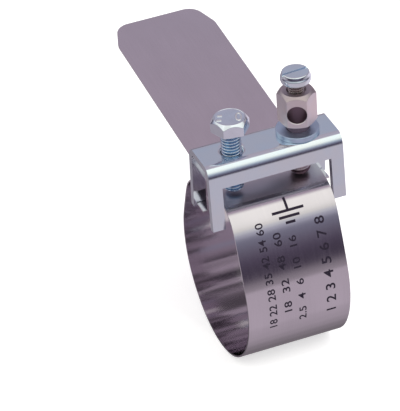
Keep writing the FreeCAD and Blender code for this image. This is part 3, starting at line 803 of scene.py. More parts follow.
def build_collar(name, sizes, x, mouth):
    """A drawn collar under the plate: a closed turned ring with a flared root and rounded lip,
    and where the hole has a mouth, a quarter of a round that opens towards the plate's top."""
    theta = np.linspace(0.0, TURN, 96, endpoint=False)
    n = len(theta)
    under = sizes.top - sizes.sheet
    lip = under - sizes.collar_drop
    inner, outer = sizes.hole_radius, sizes.collar_radius
    root, hidden, half = outer + 0.5 * MM, under + 0.3 * MM, under - sizes.collar_drop / 2
    corners = [level(inner, half, n)]
    rounding = [0]
    if mouth:
        wide, flush = sizes.mouth_round, sizes.top + 0.004 * MM
        for a in np.linspace(0.0, math.pi / 2, 10):
            height = flush - wide * (1 - math.sin(a))
            corners.append(level(inner + wide * (1 - math.cos(a)), height, n))
        corners.append(level(inner + wide + 0.5 * MM, flush, n))
        corners.append(level(inner + wide + 0.5 * MM, hidden, n))
        rounding += [0] * 12
    else:
        corners.append(level(inner, hidden, n))
        rounding.append(0.1 * MM)
    corners += [
        level(root, hidden, n),
        level(root, under, n),
        level(outer, under - 0.2 * MM, n),
        level(outer, lip, n),
        level(inner, lip, n),
        level(inner, half, n),
    ]
    rounding += [0, 0.2 * MM, 0.3 * MM, 0.35 * MM, 0.2 * MM, 0]
    rows = rounded_rows(np.stack(corners), rounding)
    piece = turned_piece(name, rows, theta, (x, sizes.middle))
    sharpen(piece, 40.0)
    return piece


# The clamp bolt


def build_bolt(sizes):
    """The bolt as one closed surface: the head's rows are a flat, a low rim and a conical chamfer
    that ends on the hexagon's radius, and the shank's rows follow the thread."""
    theta = np.linspace(0.0, TURN, 2 * sizes.columns, endpoint=False)
    n = len(theta)
    tip, top = BOLT_BOX[0][2], BOLT_BOX[1][2]
    under = top - sizes.head_height
    side = hexagon_radius(theta, sizes.flats, sizes.head_turn)
    rim = top + sizes.rim_height
    chamfer = rim - math.tan(sizes.head_chamfer) * (side - sizes.head_rim)
    corners = np.stack(
        [
            level(0.0, top, n),
            level(sizes.head_face, top, n),
            level(sizes.head_face + 0.14 * MM, rim, n),
            level(sizes.head_rim, rim, n),
            np.stack([side, chamfer], -1),
            np.stack([side, np.full(n, under)], -1),
            level(sizes.thread_radius, under, n),
            level(sizes.thread_radius, under - 0.5 * MM, n),
        ]
    )
    cuts = [0, 0.08, 0.08, 0.16, 0.16, 0.14, 0.25, 0]
    head = rounded_rows(corners, [c * MM for c in cuts])
    thread, groove = thread_rows(
        theta,
        under - 0.55 * MM,
        tip,
        sizes.thread_radius,
        sizes.thread_depth,
        sizes.thread_pitch,
        run_out=1.6 * MM,
        end_radius=sizes.end_radius,
    )
    rows = np.concatenate([head, thread, [level(0.0, tip, n)]])
    # Some of the dark bluish colour over the whole thread, more with the groove's depth: bluish
    # plating and painted shade in the roots
    thread_blue_and_shade_mask = 0.3 + 0.7 * groove
    mask = np.concatenate([np.zeros(head.shape[:2]), thread_blue_and_shade_mask, np.zeros((1, n))])
    piece = turned_piece("bolt_body", rows, theta, upright_axis(BOLT_BOX), mask)
    sharpen(piece, 55.0)
    return piece


def pad(centre, half_sizes, turn, power=0.35):
    """A raised mark: a superellipsoid, the sphere's formula with every cosine and sine raised to
    a small power and keeping its sign, so that it is nearly a box with rounded edges."""
    a = np.linspace(-math.pi, math.pi, 33)[:-1]
    b = np.linspace(-math.pi / 2, math.pi / 2, 13)

    def soft(value):
        """A value raised to the small power, with its sign kept."""
        return np.sign(value) * np.abs(value) ** power

    x = half_sizes[0] * soft(np.cos(b))[:, None] * soft(np.cos(a))[None, :]
    y = half_sizes[1] * soft(np.cos(b))[:, None] * soft(np.sin(a))[None, :]
    z = half_sizes[2] * np.broadcast_to(soft(np.sin(b))[:, None], x.shape)
    points = np.stack([*turned_about(x, y, turn, centre), centre[2] + z], -1)
    return points, grid_faces(len(b), len(a), closed=True)


def build_bolt_marks():
    """Two short bars and an oval ring, raised on the bolt's head. The ring is a round rod carried
    along an oval: the oval's point moved outwards by the rod's cosine and up by its sine."""
    top = BOLT_BOX[1][2]
    centre = upright_axis(BOLT_BOX)
    turn = math.radians(-19.5)
    parts = []
    for along, across in ((-3.0, -1.45), (-2.75, 0.85)):
        place = (*turned_about(along * MM, across * MM, turn, centre), top)
        parts.append(pad(place, (0.75 * MM, 0.42 * MM, 0.2 * MM), turn))
    a = np.linspace(0.0, TURN, 49)[:-1]
    b = np.linspace(0.0, TURN, 13)[:-1]
    rod = 0.3 * MM * np.cos(b)[:, None]
    u = 2.6 * MM + (0.75 * MM + rod) * np.cos(a)[None, :]
    v = -0.1 * MM + (1.85 * MM + rod) * np.sin(a)[None, :]
    height = top + 0.2 * MM * np.broadcast_to(np.sin(b)[:, None], u.shape)
    ring = np.stack([*turned_about(u, v, turn, centre), height], -1)
    k = np.arange(len(a))
    seam = (len(b) - 1) * len(a) + k
    close = np.stack([seam, np.roll(seam, -1), np.roll(k, -1), k], -1)
    faces = np.concatenate([grid_faces(len(b), len(a), closed=True), close])
    points, faces = join_arrays(parts + [(ring, faces)])
    piece = mesh_object("bolt_marks", points, faces)
    weld(piece)
    sharpen(piece, 80.0)
    return piece


# The washer


def build_flat_washer():
    """A stamped ring: a closed profile with one well rounded edge, turned about an axis a little
    to the left of the post's."""
    theta = np.linspace(0.0, TURN, 128, endpoint=False)
    n = len(theta)
    low, high = FLAT_BOX[0][2], FLAT_BOX[1][2]
    inner, proud, aside = 3.2 * MM, 0.08 * MM, 0.22 * MM
    outer = (FLAT_BOX[1][0] - FLAT_BOX[0][0]) / 2 + proud
    half = (low + high) / 2
    corners = np.stack(
        [
            level(inner, half, n),
            level(inner, high, n),
            level(outer, high, n),
            level(outer, low, n),
            level(inner, low, n),
            level(inner, half, n),
        ]
    )
    rows = rounded_rows(corners, [0, 0.2 * MM, 0.24 * MM, 0.15 * MM, 0.1 * MM, 0], steps=5)
    centre = (middle(FLAT_BOX, 0) - aside, middle(FLAT_BOX, 1))
    piece = turned_piece("washer_flat", rows, theta, centre)
    sharpen(piece, 40.0)
    return piece


# The terminal post


def build_post(sizes):
    """The post as one closed surface from the tapped hole's floor over the top, down the hexagon,
    the foot and the neck and along the stud's thread; the cross hole is cut out of it."""
    theta = np.linspace(0.0, TURN, 2 * sizes.columns, endpoint=False)
    n = len(theta)
    tip = POST_BOX[0][2]
    top = POST_BOX[1][2]
    foot = top - sizes.post_height
    seat = foot - sizes.neck_height
    turn = math.atan2(HOLE_AXIS[1], HOLE_AXIS[0])
    side = hexagon_radius(theta, sizes.flats, turn, 110.0)
    upper = top - math.tan(sizes.post_chamfer) * (side - sizes.post_face)
    lower = foot + math.tan(sizes.post_foot_chamfer) * (side - sizes.post_foot_face)
    lower = np.maximum(lower, foot + 0.02 * MM)
    tapped = sizes.tapped_radius
    corners = np.stack(
        [
            level(0.0, HOLE_HEIGHT, n),
            level(tapped, HOLE_HEIGHT, n),
            level(tapped, top - 0.35 * MM, n),
            level(tapped + 0.35 * MM, top, n),
            level(sizes.post_face, top, n),
            np.stack([side, upper], -1),
            np.stack([side, lower], -1),
            level(sizes.post_foot_face, foot, n),
            level(sizes.neck_radius, foot, n),
            level(sizes.neck_radius, seat, n),
            level(sizes.thread_radius, seat, n),
            level(sizes.thread_radius, seat - 0.3 * MM, n),
        ]
    )
    cuts = [0, 0, 0.05, 0.08, 0.14, 0.12, 0.12, 0.12, 0.1, 0.05, 0.05, 0]
    block_rows = rounded_rows(corners, [c * MM for c in cuts])
    thread, groove = thread_rows(
        theta,
        seat - 0.35 * MM,
        tip,
        sizes.thread_radius,
        sizes.thread_depth,
        sizes.thread_pitch,
        run_out=0.8 * MM,
        end_radius=sizes.end_radius,
    )
    rows = np.concatenate([block_rows, thread, [level(0.0, tip, n)]])
    # Painted shade: the hexagon's underside, the neck and the stud's start take the darker root
    # colour
    painted_neck_shade = np.where(block_rows[..., 1] < foot + 0.02 * MM, 1.0, 0.0)
    mask = np.concatenate([painted_neck_shade, groove, np.zeros((1, n))])
    centre = upright_axis(POST_BOX)
    piece = turned_piece("post_body", rows, theta, centre, mask)
    cut_away(piece, cross_drill(sizes, centre))
    mark_painted_shade(piece, sizes, centre)
    sharpen(piece, 28.0)
    return piece


def mark_painted_shade(piece, sizes, centre):
    """Mark the faces that get painted shade. A face is in a hole when its middle lies no further from
    the cross hole's or the tapped hole's axis than the wall. The neck, the stud's start and the
    stud's end are told by their height, and the top and its chamfer get the painted shade about half
    as strongly."""
    count = len(piece.data.polygons)
    normals, places = np.empty(3 * count), np.empty(3 * count)
    piece.data.polygons.foreach_get("normal", normals)
    piece.data.polygons.foreach_get("center", places)
    places = places.reshape(-1, 3) - np.array([*centre, HOLE_HEIGHT])
    axis = np.array(HOLE_AXIS)
    height = places[:, 2]
    along = places @ axis
    from_cross = np.linalg.norm(places - along[:, None] * axis[None, :], axis=1)
    from_stem = np.linalg.norm(places[:, :2], axis=1)
    slack = 0.02 * MM
    neck_top, neck_low = -4.55 * MM, -9.4 * MM
    end_top = POST_BOX[0][2] - HOLE_HEIGHT + 1.7 * MM
    chamfer_low, facing_up, half_dark = 3.6 * MM, 0.4, 0.45
    # Painted shade inside both holes, on the neck, the stud's start and the stud's end
    inside = (from_cross < HOLE_RADIUS + slack) & (np.abs(along) < sizes.flats / 2 - 0.15 * MM)
    inside |= (from_stem < sizes.tapped_radius + slack) & (height > -0.1 * MM)
    stem = ((height < neck_top) & (height > neck_low)) | (height < end_top)
    inside |= (from_stem < sizes.neck_radius + 0.01 * MM) & stem
    # Painted shade at half strength on the upward faces of the top and its upper chamfer
    wear_tint_and_top_shade = (height > chamfer_low) & (normals[2::3] > facing_up)
    mask = piece.data.attributes.new("bore_shade", "FLOAT", "FACE")
    mask.data.foreach_set("value", np.where(inside, 1.0, half_dark * wear_tint_and_top_shade).astype(np.float32))


def cross_drill(sizes, centre):
    """The cross hole's solid: a cylinder along the hole's axis that flares at both flats."""
    theta = np.linspace(0.0, TURN, 96, endpoint=False)
    n = len(theta)
    flat, flare, reach = sizes.flats / 2, 0.14 * MM, 9.0 * MM
    wide = HOLE_RADIUS + flare
    profile = [(0.0, -reach), (wide, -reach), (wide, -flat), (HOLE_RADIUS, flare - flat)]
    profile += [(radius, -place) for radius, place in reversed(profile)]
    rows = np.stack([level(radius, place, n) for radius, place in profile])
    radius, along = rows[..., 0], rows[..., 1]
    turn = math.atan2(HOLE_AXIS[1], HOLE_AXIS[0])
    x, y = turned_about(along, radius * np.cos(theta)[None, :], turn, centre)
    z = HOLE_HEIGHT + radius * np.sin(theta)[None, :]
    points = np.stack([x, y, z], -1)
    tool = mesh_object("cross_drill", points, grid_faces(len(rows), n, closed=True))
    weld(tool)
    return tool


# The terminal screw


def build_terminal_screw(sizes):
    """The terminal screw as one closed surface: a head with a steep rounded cone on top and a
    quarter ellipse below, a thread and a cone, with the driver slot cut out of the head."""
    theta = np.linspace(0.0, TURN, sizes.columns, endpoint=False)
    n = len(theta)
    tip, top = SCREW_BOX[0][2], SCREW_BOX[1][2]
    seat = POST_BOX[1][2] + sizes.crown_seat
    point = tip + sizes.point_length
    side = sizes.crown_radius
    cone_end = top - sizes.crown_drop
    side_end = cone_end - sizes.crown_side
    rim = [(0.0, top), (sizes.crown_face, top), (sizes.crown_cone, cone_end)]
    rim += [(side, side_end + 0.6 * MM), (side, side_end)]
    cuts = [0, 0.34 * MM, 0.12 * MM, 0.2 * MM, 0]
    crown = np.stack([level(radius, height, n) for radius, height in rim])
    crown = rounded_rows(crown, cuts, steps=8)[:-1]
    profile = [
        (side - 0.55 * MM * (1 - math.cos(a)), side_end - (side_end - seat) * math.sin(a))
        for a in np.linspace(0.0, math.pi / 2, 11)
    ]
    profile.append((sizes.small_radius + 0.1 * MM, seat))
    profile += [(sizes.small_radius, seat - 0.1 * MM), (sizes.small_radius, seat - 0.4 * MM)]
    head = np.concatenate([crown, [level(radius, height, n) for radius, height in profile]])
    thread, _ = thread_rows(
        theta,
        seat - 0.45 * MM,
        point,
        sizes.small_radius,
        sizes.small_depth,
        sizes.small_pitch,
        run_out=0.9 * MM,
        per_pitch=18,
    )
    start, end = thread[-1, :, 0].mean(), 0.4 * MM
    cone = [
        level(start + (end - start) * t, point + (tip - point) * t, n)
        for t in (0.06, 0.3, 0.6, 0.9, 1.0)
    ]
    cone = np.stack(cone + [level(0.0, tip, n)])
    rows = np.concatenate([head, thread, cone])
    # Painted shade: the whole thread, which shows only under the head, takes the dark colour
    mask = np.zeros(rows.shape[:2])
    mask[len(head) : len(head) + len(thread)] = 1.0
    centre = upright_axis(SCREW_BOX)
    piece = turned_piece("terminal_screw_body", rows, theta, centre, mask)
    cut_away(piece, slot_cutter(sizes, centre, top))
    sharpen(piece, 45.0)
    return piece


def slot_cutter(sizes, centre, top):
    """The driver slot's solid: a long box from the slot's floor to well above the head."""
    half, reach, over = sizes.slot_width / 2, 9.0 * MM, 5.0 * MM
    outline = np.array([(-reach, -half), (reach, -half), (reach, half), (-reach, half)] * 2)
    x, y = turned_about(outline[:, 0], outline[:, 1], sizes.slot_turn, centre)
    z = np.repeat([top - sizes.slot_depth, top + over], 4)
    faces = [(3, 2, 1, 0), (4, 5, 6, 7), (0, 1, 5, 4), (1, 2, 6, 5), (2, 3, 7, 6), (3, 0, 4, 7)]
    return mesh_object("driver_slot", np.stack([x, y, z], -1), faces)


# Nodes and materials


def clear_tree(holder):
    """Turn on the nodes of a material or a world and take out those that it starts with."""
    holder.use_nodes = True
    holder.node_tree.nodes.clear()
    return holder.node_tree


def node(tree, kind, inputs=(), **settings):
    """A node with its settings. An input, by name or number, is linked where it is given another
    node's output, and otherwise set to the value."""
    made = tree.nodes.new(kind)
    for key, value in settings.items():
        setattr(made, key, value)
    for key, value in dict(inputs).items():
        if isinstance(value, bpy.types.NodeSocket):
            tree.links.new(value, made.inputs[key])
        else:
            made.inputs[key].default_value = value
    return made


def calculate(tree, operation, *terms):
    """One step of arithmetic on outputs and plain numbers."""
    return node(tree, "ShaderNodeMath", dict(enumerate(terms)), operation=operation).outputs[0]


def fade(tree, value, start, end, low=0.0, high=1.0, curve="SMOOTHSTEP"):
    """A value carried from one range to another and held at both ends."""
    inputs = {"Value": value, "From Min": start, "From Max": end, "To Min": low, "To Max": high}
    return node(tree, "ShaderNodeMapRange", inputs, interpolation_type=curve).outputs["Result"]


def blend(tree, factor, one, two):
    """A colour between two others."""
    inputs = {"Factor": factor, "A": one, "B": two}
    return node(tree, "ShaderNodeMix", inputs, data_type="RGBA").outputs["Result"]


def dimmed(tree, colour, factor):
    """A colour output times a number output."""
    inputs = {0: colour, "Scale": factor}
    return node(tree, "ShaderNodeVectorMath", inputs, operation="SCALE").outputs["Vector"]


def noise(tree, place, scale, detail, roughness=0.5):
    """Cloudy noise between nought and one."""
    inputs = {"Vector": place, "Scale": scale, "Detail": detail, "Roughness": roughness}
    return node(tree, "ShaderNodeTexNoise", inputs).outputs["Fac"]


def place_on(tree, kind="Object"):
    """The place on an object, or the direction in a world, which is of the kind Generated."""
    return node(tree, "ShaderNodeTexCoord").outputs[kind]


def axes_of(tree, place):
    """X, Y and Z of a place, by name."""
    return node(tree, "ShaderNodeSeparateXYZ", {"Vector": place}).outputs


def ramp(tree, factor, stops):
    """The colour at a factor on a soft ramp through (position, colour) stops."""
    made = node(tree, "ShaderNodeValToRGB", {"Fac": factor})
    made.color_ramp.interpolation = "EASE"
    elements = made.color_ramp.elements
    while len(elements) > 1:
        elements.remove(elements[-1])
    elements[0].position = stops[0][0]
    elements[0].color = opaque(stops[0][1])
    for position, value in stops[1:]:
        elements.new(position).color = opaque(value)
    return made.outputs["Color"]


def mix_shaders(tree, factor, one, two):
    """A shader between two others."""
    return node(tree, "ShaderNodeMixShader", {"Fac": factor, 1: one, 2: two}).outputs["Shader"]


def surface(tree, **inputs):
    """A Principled shader as the tree's surface; an underscore in a name stands for a space."""
    named = {name.replace("_", " "): value for name, value in inputs.items()}
    shader = node(tree, "ShaderNodeBsdfPrincipled", named)
    node(tree, "ShaderNodeOutputMaterial", {"Surface": shader.outputs["BSDF"]})


def opaque(values):
    """A colour with full alpha."""
    return (*values[:3], 1.0)


def scaled(values, factor):
    """A colour times a number, or times one number each for its red, green and blue."""
    return [float(c) for c in np.multiply(values[:3], factor)]


def surface_group(name, inputs):
    """A new shader node group that puts out a colour, a roughness and a normal; gives its tree and
    its two end nodes. A plain number makes a number input, and four make a colour input."""
    tree = bpy.data.node_groups.new(name, "ShaderNodeTree")
    for label, value in inputs.items():
        kind = "NodeSocketFloat" if isinstance(value, float) else "NodeSocketColor"
        socket = tree.interface.new_socket(name=label, in_out="INPUT", socket_type=kind)
        socket.default_value = value
    for label, kind in (("Colour", "Color"), ("Roughness", "Float"), ("Normal", "Vector")):
        tree.interface.new_socket(name=label, in_out="OUTPUT", socket_type="NodeSocket" + kind)
    return tree, tree.nodes.new("NodeGroupInput"), tree.nodes.new("NodeGroupOutput")


def roughen(tree, source, result, grain, swing, depth):
    """What both groups do with their fine noise: it swings the roughness to either side of the
    given one, and it raises the surface by the input that depth names."""
    low = calculate(tree, "SUBTRACT", source.outputs["Roughness"], swing / 2)
    rough = calculate(tree, "MULTIPLY_ADD", grain, swing, low)
    inputs = {"Distance": 0.02 * MM, "Strength": source.outputs[depth], "Height": grain}
    bump = node(tree, "ShaderNodeBump", inputs)
    tree.links.new(rough, result.inputs["Roughness"])
    tree.links.new(bump.outputs["Normal"], result.inputs["Normal"])


def plating_group():
    """Cloudy plating: a slow noise shifts the colour between two tints, and a fine noise shifts
    the roughness and gives the surface its grain."""
    tint = (0.6, 0.7, 0.8, 1.0)
    inputs = {"Tint one": tint, "Tint two": tint, "Cloud size": 120.0, "Grain size": 2400.0}
    inputs.update({"Roughness": 0.3, "Grain depth": 0.1})
    tree, source, result = surface_group("Plated surface", inputs)
    given = source.outputs
    place = place_on(tree)
    cloud = noise(tree, place, given["Cloud size"], 4.0, 0.55)
    grain = noise(tree, place, given["Grain size"], 3.0, 0.6)
    spread = fade(tree, cloud, 0.38, 0.62)
    tint = blend(tree, spread, given["Tint one"], given["Tint two"])
    tree.links.new(tint, result.inputs["Colour"])
    roughen(tree, source, result, grain, 0.12, "Grain depth")
    return tree


def rolled_group():
    """Rolled sheet: noise drawn out along the strap gives fine lines in the colour, roughness
    and height, and a slow noise clouds the colour."""
    inputs = {"Tint": (0.4, 0.4, 0.4, 1.0), "Roughness": 0.2, "Line depth": 0.1}
    tree, source, result = surface_group("Rolled sheet", inputs)
    place = node(tree, "ShaderNodeUVMap", uv_map="Across_along").outputs["UV"]
    drawn_out = {"Vector": place, "Scale": (3600.0, 60.0, 1.0)}
    slow = {"Vector": place, "Scale": (90.0, 45.0, 1.0)}
    lines, cloud = (
        noise(tree, node(tree, "ShaderNodeMapping", mapping).outputs["Vector"], 1.0, detail, rough)
        for mapping, detail, rough in ((drawn_out, 5.0, 0.7), (slow, 3.0, 0.5))
    )
    both = calculate(tree, "ADD", lines, cloud)
    shade = fade(tree, both, 0.6, 1.4, 0.94, 1.05, "LINEAR")
    tint = dimmed(tree, source.outputs["Tint"], shade)
    tree.links.new(tint, result.inputs["Colour"])
    roughen(tree, source, result, lines, 0.1, "Line depth")
    return tree


def stainless_material(finish, rolled):
    """Fine rolled stainless steel, dulled on the stretch over the top of the loop."""
    tree = clear_tree(bpy.data.materials.new("Stainless strap"))
    inputs = {"Tint": opaque(finish.stainless), "Roughness": finish.stainless_rough}
    inputs["Line depth"] = 0.12
    sheet = node(tree, "ShaderNodeGroup", inputs, node_tree=rolled).outputs
    axes = axes_of(tree, place_on(tree))
    on_top = fade(tree, axes["Z"], 30.2 * MM, 31.0 * MM)
    ahead = fade(tree, axes["Y"], 9.0 * MM, 6.0 * MM)
    rubbed = calculate(tree, "MULTIPLY", on_top, ahead)
    dull = calculate(tree, "MULTIPLY_ADD", rubbed, 0.24, sheet["Roughness"])
    surface(tree, Base_Color=sheet["Colour"], Roughness=dull, Normal=sheet["Normal"], Metallic=1.0)


def plated_material(name, plating, one, two, roughness, depth, groove=None, bore_shade=None):
    """Plated steel or brass between two tints; a groove colour tints the thread's roots and paints
    shade there (on the bolt partly its bluish plating), and a shade colour paints shade on the faces
    marked for it."""
    tree = clear_tree(bpy.data.materials.new(name))
    inputs = {"Tint one": opaque(one), "Tint two": opaque(two), "Roughness": roughness}
    inputs["Grain depth"] = depth
    plate = node(tree, "ShaderNodeGroup", inputs, node_tree=plating).outputs
    base = plate["Colour"]
    if groove is not None:
        mask = node(tree, "ShaderNodeAttribute", attribute_name="groove").outputs["Fac"]
        base = blend(tree, fade(tree, mask, 0.05, 1.0, curve="LINEAR"), base, opaque(groove))
    if bore_shade is not None:
        mask = node(tree, "ShaderNodeAttribute", attribute_name="bore_shade").outputs["Fac"]
        base = blend(tree, mask, base, opaque(bore_shade))
    surface(tree, Base_Color=base, Roughness=plate["Roughness"], Normal=plate["Normal"], Metallic=1.0)


def ink_material(finish):
    """Dark etched print with a little wear."""
    tree = clear_tree(bpy.data.materials.new("Etched print"))
    wear = noise(tree, place_on(tree), 2600.0, 3.0)
    base = blend(tree, wear, opaque(finish.ink), opaque(scaled(finish.ink, 2.2)))
    surface(tree, Base_Color=base, Specular_IOR_Level=0.0, Roughness=0.6)


def make_materials():
    """Every finish, made once."""
    finish = bpy.context.scene.clamp_finishes
    plating = plating_group()
    stainless_material(finish, rolled_group())
    ink_material(finish)
    rough, zinc, bolt = finish.zinc_rough, list(finish.zinc), list(finish.bolt_zinc)
    warm = scaled(zinc, (1.04, 1.0, 0.97))
    plated_material("Zinc bridge", plating, zinc, warm, rough, 0.25)
    sheared = scaled(zinc, (0.8, 0.76, 0.76))
    plated_material("Sheared edge", plating, sheared, scaled(sheared, 1.15), 0.36, 0.4)
    # Partly the plating's bluish tint and partly painted shade: a dark bluish colour on the bolt's
    # thread, strongest in its roots
    bolt_groove_blue_and_shade = list(finish.groove_blue_and_shade)
    plated_material("Zinc bolt", plating, bolt, scaled(bolt, 1.08), rough, 0.15, bolt_groove_blue_and_shade)
    # Painted highlight: the raised marks are nearly white so that they show as bright glints on the
    # head
    plated_material("Zinc marks with painted highlight", plating, (0.96, 0.97, 0.96), (0.9, 0.93, 0.93), 0.3, 0.15)
    # Partly painted shade: the washer is darker and more bluish than the bridge, standing in for the
    # shade on its rim as well as its plating
    washer_tint_and_rim_shade = scaled(zinc, (0.66, 0.73, 0.83))
    plated_material("Zinc washer", plating, washer_tint_and_rim_shade, scaled(washer_tint_and_rim_shade, 1.15), 0.42, 0.2)
    # Painted shade: a dark warm colour on the terminal screw's thread, for the shade under its head
    screw_thread_shade = (0.34, 0.29, 0.29)
    plated_material("Zinc screw", plating, scaled(zinc, 1.05), warm, 0.09, 0.2, screw_thread_shade)
    # Painted shade: the root colour darkens the stud's thread roots and the neck under the hexagon;
    # the dark colour from the finishes goes in the holes, on the neck, on the stud's end and at half
    # strength on the top
    nickel, bore_shade = list(finish.nickel), list(finish.bore_shade)
    wear_tint_and_top_shade, root = scaled(nickel, (1.03, 0.98, 0.95)), scaled(nickel, (0.9, 0.86, 0.86))
    plated_material("Nickel post", plating, nickel, wear_tint_and_top_shade, finish.nickel_rough, 0.2, root, bore_shade)


# The stage


def floor_material(ground):
    """A pale floor: matt, and nearly white with its shadows where the camera sees it. In mirrors
    it glows in the ground's colour, with a painted shadow under the loop, painted shade far behind
    and painted light far right."""
    material = bpy.data.materials.new("Pale floor")
    tree = clear_tree(material)
    matt = node(tree, "ShaderNodeBsdfDiffuse", {"Color": opaque([0.82] * 3)}).outputs["BSDF"]
    glow = node(tree, "ShaderNodeEmission", {"Color": opaque([1.0] * 3), "Strength": 0.54})
    seen = node(tree, "ShaderNodeAddShader", {0: matt, 1: glow.outputs["Emission"]})
    place = place_on(tree)
    axes = axes_of(tree, place)
    # Painted shadow in the mirrored floor: the ground's colour darkens towards the loop
    away = calculate(tree, "ABSOLUTE", axes["Y"])
    beyond = calculate(tree, "SUBTRACT", calculate(tree, "ABSOLUTE", axes["X"]), 32.0 * MM)
    reach = fade(tree, calculate(tree, "MAXIMUM", away, beyond), 0.0, 50.0 * MM, curve="LINEAR")
    shade = [(0.0, 0.25), (0.3, 0.36), (0.39, 0.5), (0.48, 0.7), (0.56, 0.82)]
    shade += [(0.68, 0.89), (0.84, 1.0)]
    ground_with_painted_shadow = ramp(tree, reach, [(at, scaled(ground, part)) for at, part in shade])
    # Painted shade far behind and painted light far to the right, less of it far in front
    slant = {0: place, 1: (-0.55, 0.83, 0.0)}
    slant = node(tree, "ShaderNodeVectorMath", slant, operation="DOT_PRODUCT").outputs["Value"]
    behind = fade(tree, slant, 20.0 * MM, 90.0 * MM, 1.0, 0.68)
    right = fade(tree, axes["X"], 60.0 * MM, 115.0 * MM)
    level_with = fade(tree, axes["Y"], -110.0 * MM, -40.0 * MM, 0.0, 0.4)
    gain = calculate(tree, "MULTIPLY_ADD", right, level_with, behind)
    mirrored = node(tree, "ShaderNodeEmission", {"Color": ground_with_painted_shadow, "Strength": gain})
    rays = node(tree, "ShaderNodeLightPath").outputs
    glossy = calculate(tree, "MAXIMUM", rays["Is Glossy Ray"], rays["Is Transmission Ray"])
    unmirrored = mix_shaders(tree, rays["Is Camera Ray"], matt, seen.outputs["Shader"])
    whole = mix_shaders(tree, glossy, unmirrored, mirrored.outputs["Emission"])
    node(tree, "ShaderNodeOutputMaterial", {"Surface": whole})
    return material


def build_floor(settings):
    """A round floor under the loop."""
    theta = np.linspace(0.0, TURN, 96, endpoint=False)
    n = len(theta)
    height = CAD_BOX[0][2] - 0.05 * MM
    rows = np.stack([level(0.0, height, n), level(settings.floor_radius, height, n)])
    points = turned_points(rows, theta, (0.0, 20.0 * MM))
    piece = mesh_object("floor", points, grid_faces(2, n, closed=True)[:, ::-1])
    piece.data.materials.append(floor_material(list(settings.ground)))


def sky_ramp(tree, height, table):
    """The colour at a height between nought, straight down, and one, straight up, from a table of
    (elevation in degrees, colour)."""
    stops = [(0.5 + 0.5 * math.sin(math.radians(degrees)), value) for degrees, value in table]
    return ramp(tree, height, stops)


def build_surroundings(settings):
    """The studio round the object: white for the camera, and for everything else a bright front
    and left, a little dimmer between them, a mid grey back and a dark band along the horizon."""
    world = bpy.data.worlds.new("Studio")
    bpy.context.scene.world = world
    tree = clear_tree(world)
    axes = axes_of(tree, place_on(tree, "Generated"))
    height = fade(tree, axes["Z"], -1.0, 1.0, curve="LINEAR")
    dark, ground = list(settings.horizon), list(settings.ground)
    front, back = list(settings.sky_front), list(settings.sky_back)
    low = [(-90.0, ground), (-6.5, ground), (-4.4, scaled(ground, 0.74))]
    low += [(-2.8, scaled(ground, 0.64)), (-1.1, scaled(ground, 0.57))]
    front_table = low + [
        (-0.6, scaled(dark, 1.15)),
        (1.0, dark),
        (2.1, scaled(dark, 1.25)),
        (3.1, scaled(dark, 1.6)),
        (4.2, (0.159, 0.141, 0.192)),
        (6.3, (0.225, 0.228, 0.301)),
        (10.5, (0.493, 0.511, 0.594)),
        (15.6, (0.721, 0.761, 0.775)),
        (22.8, scaled(front, 0.79)),
        (31.2, scaled(front, 0.91)),
        (40.2, scaled(front, 0.97)),
        (51.0, front),
        (90.0, scaled(front, 1.03)),
    ]
    back_table = low + [
        (-0.6, scaled(dark, 0.6)),
        (6.0, scaled(back, 0.5)),
        (20.0, scaled(back, 0.9)),
        (34.5, (0.442, 0.442, 0.529)),
        (43.6, back),
        (70.0, scaled(back, 1.08)),
        (90.0, scaled(back, 1.15)),
    ]
    towards = fade(tree, axes["Y"], -0.06, -0.28)
    beside = fade(tree, axes["X"], -0.3, -0.55, 0.0, 0.85)
    bright = calculate(tree, "MAXIMUM", towards, beside)
    left = fade(tree, axes["X"], -0.05, -0.3)
    ahead = fade(tree, axes["Y"], -0.25, -0.5)
    between = calculate(tree, "MULTIPLY", left, ahead)
    part = calculate(tree, "MULTIPLY_ADD", between, -0.2, 1.0)
    front_sky = dimmed(tree, sky_ramp(tree, height, front_table), part)
    sky = blend(tree, bright, sky_ramp(tree, height, back_table), front_sky)
    studio = node(tree, "ShaderNodeBackground", {"Color": sky, "Strength": 1.0})
    white = node(tree, "ShaderNodeBackground", {"Color": opaque([1.0] * 3), "Strength": 1.0})
    camera = node(tree, "ShaderNodeLightPath").outputs["Is Camera Ray"]
    whole = mix_shaders(tree, camera, studio.outputs[0], white.outputs[0])
    node(tree, "ShaderNodeOutputWorld", {"Surface": whole})


def build_lamp(settings):
    """One large soft lamp above the front right; the metal mirrors the surroundings instead."""
    light = bpy.data.lights.new("Soft lamp", "AREA")
    light.shape = "SQUARE"
    light.size = 0.5
    light.energy = settings.lamp_power
    holder = bpy.data.objects.new("Soft lamp", light)
    bpy.context.scene.collection.objects.link(holder)
    place, aim = Vector((0.35, -0.5, 0.75)), Vector((0.0, 0.01, 0.02))
    holder.location = place
    holder.rotation_euler = (aim - place).to_track_quat("-Z", "Y").to_euler()
    holder.visible_glossy = False


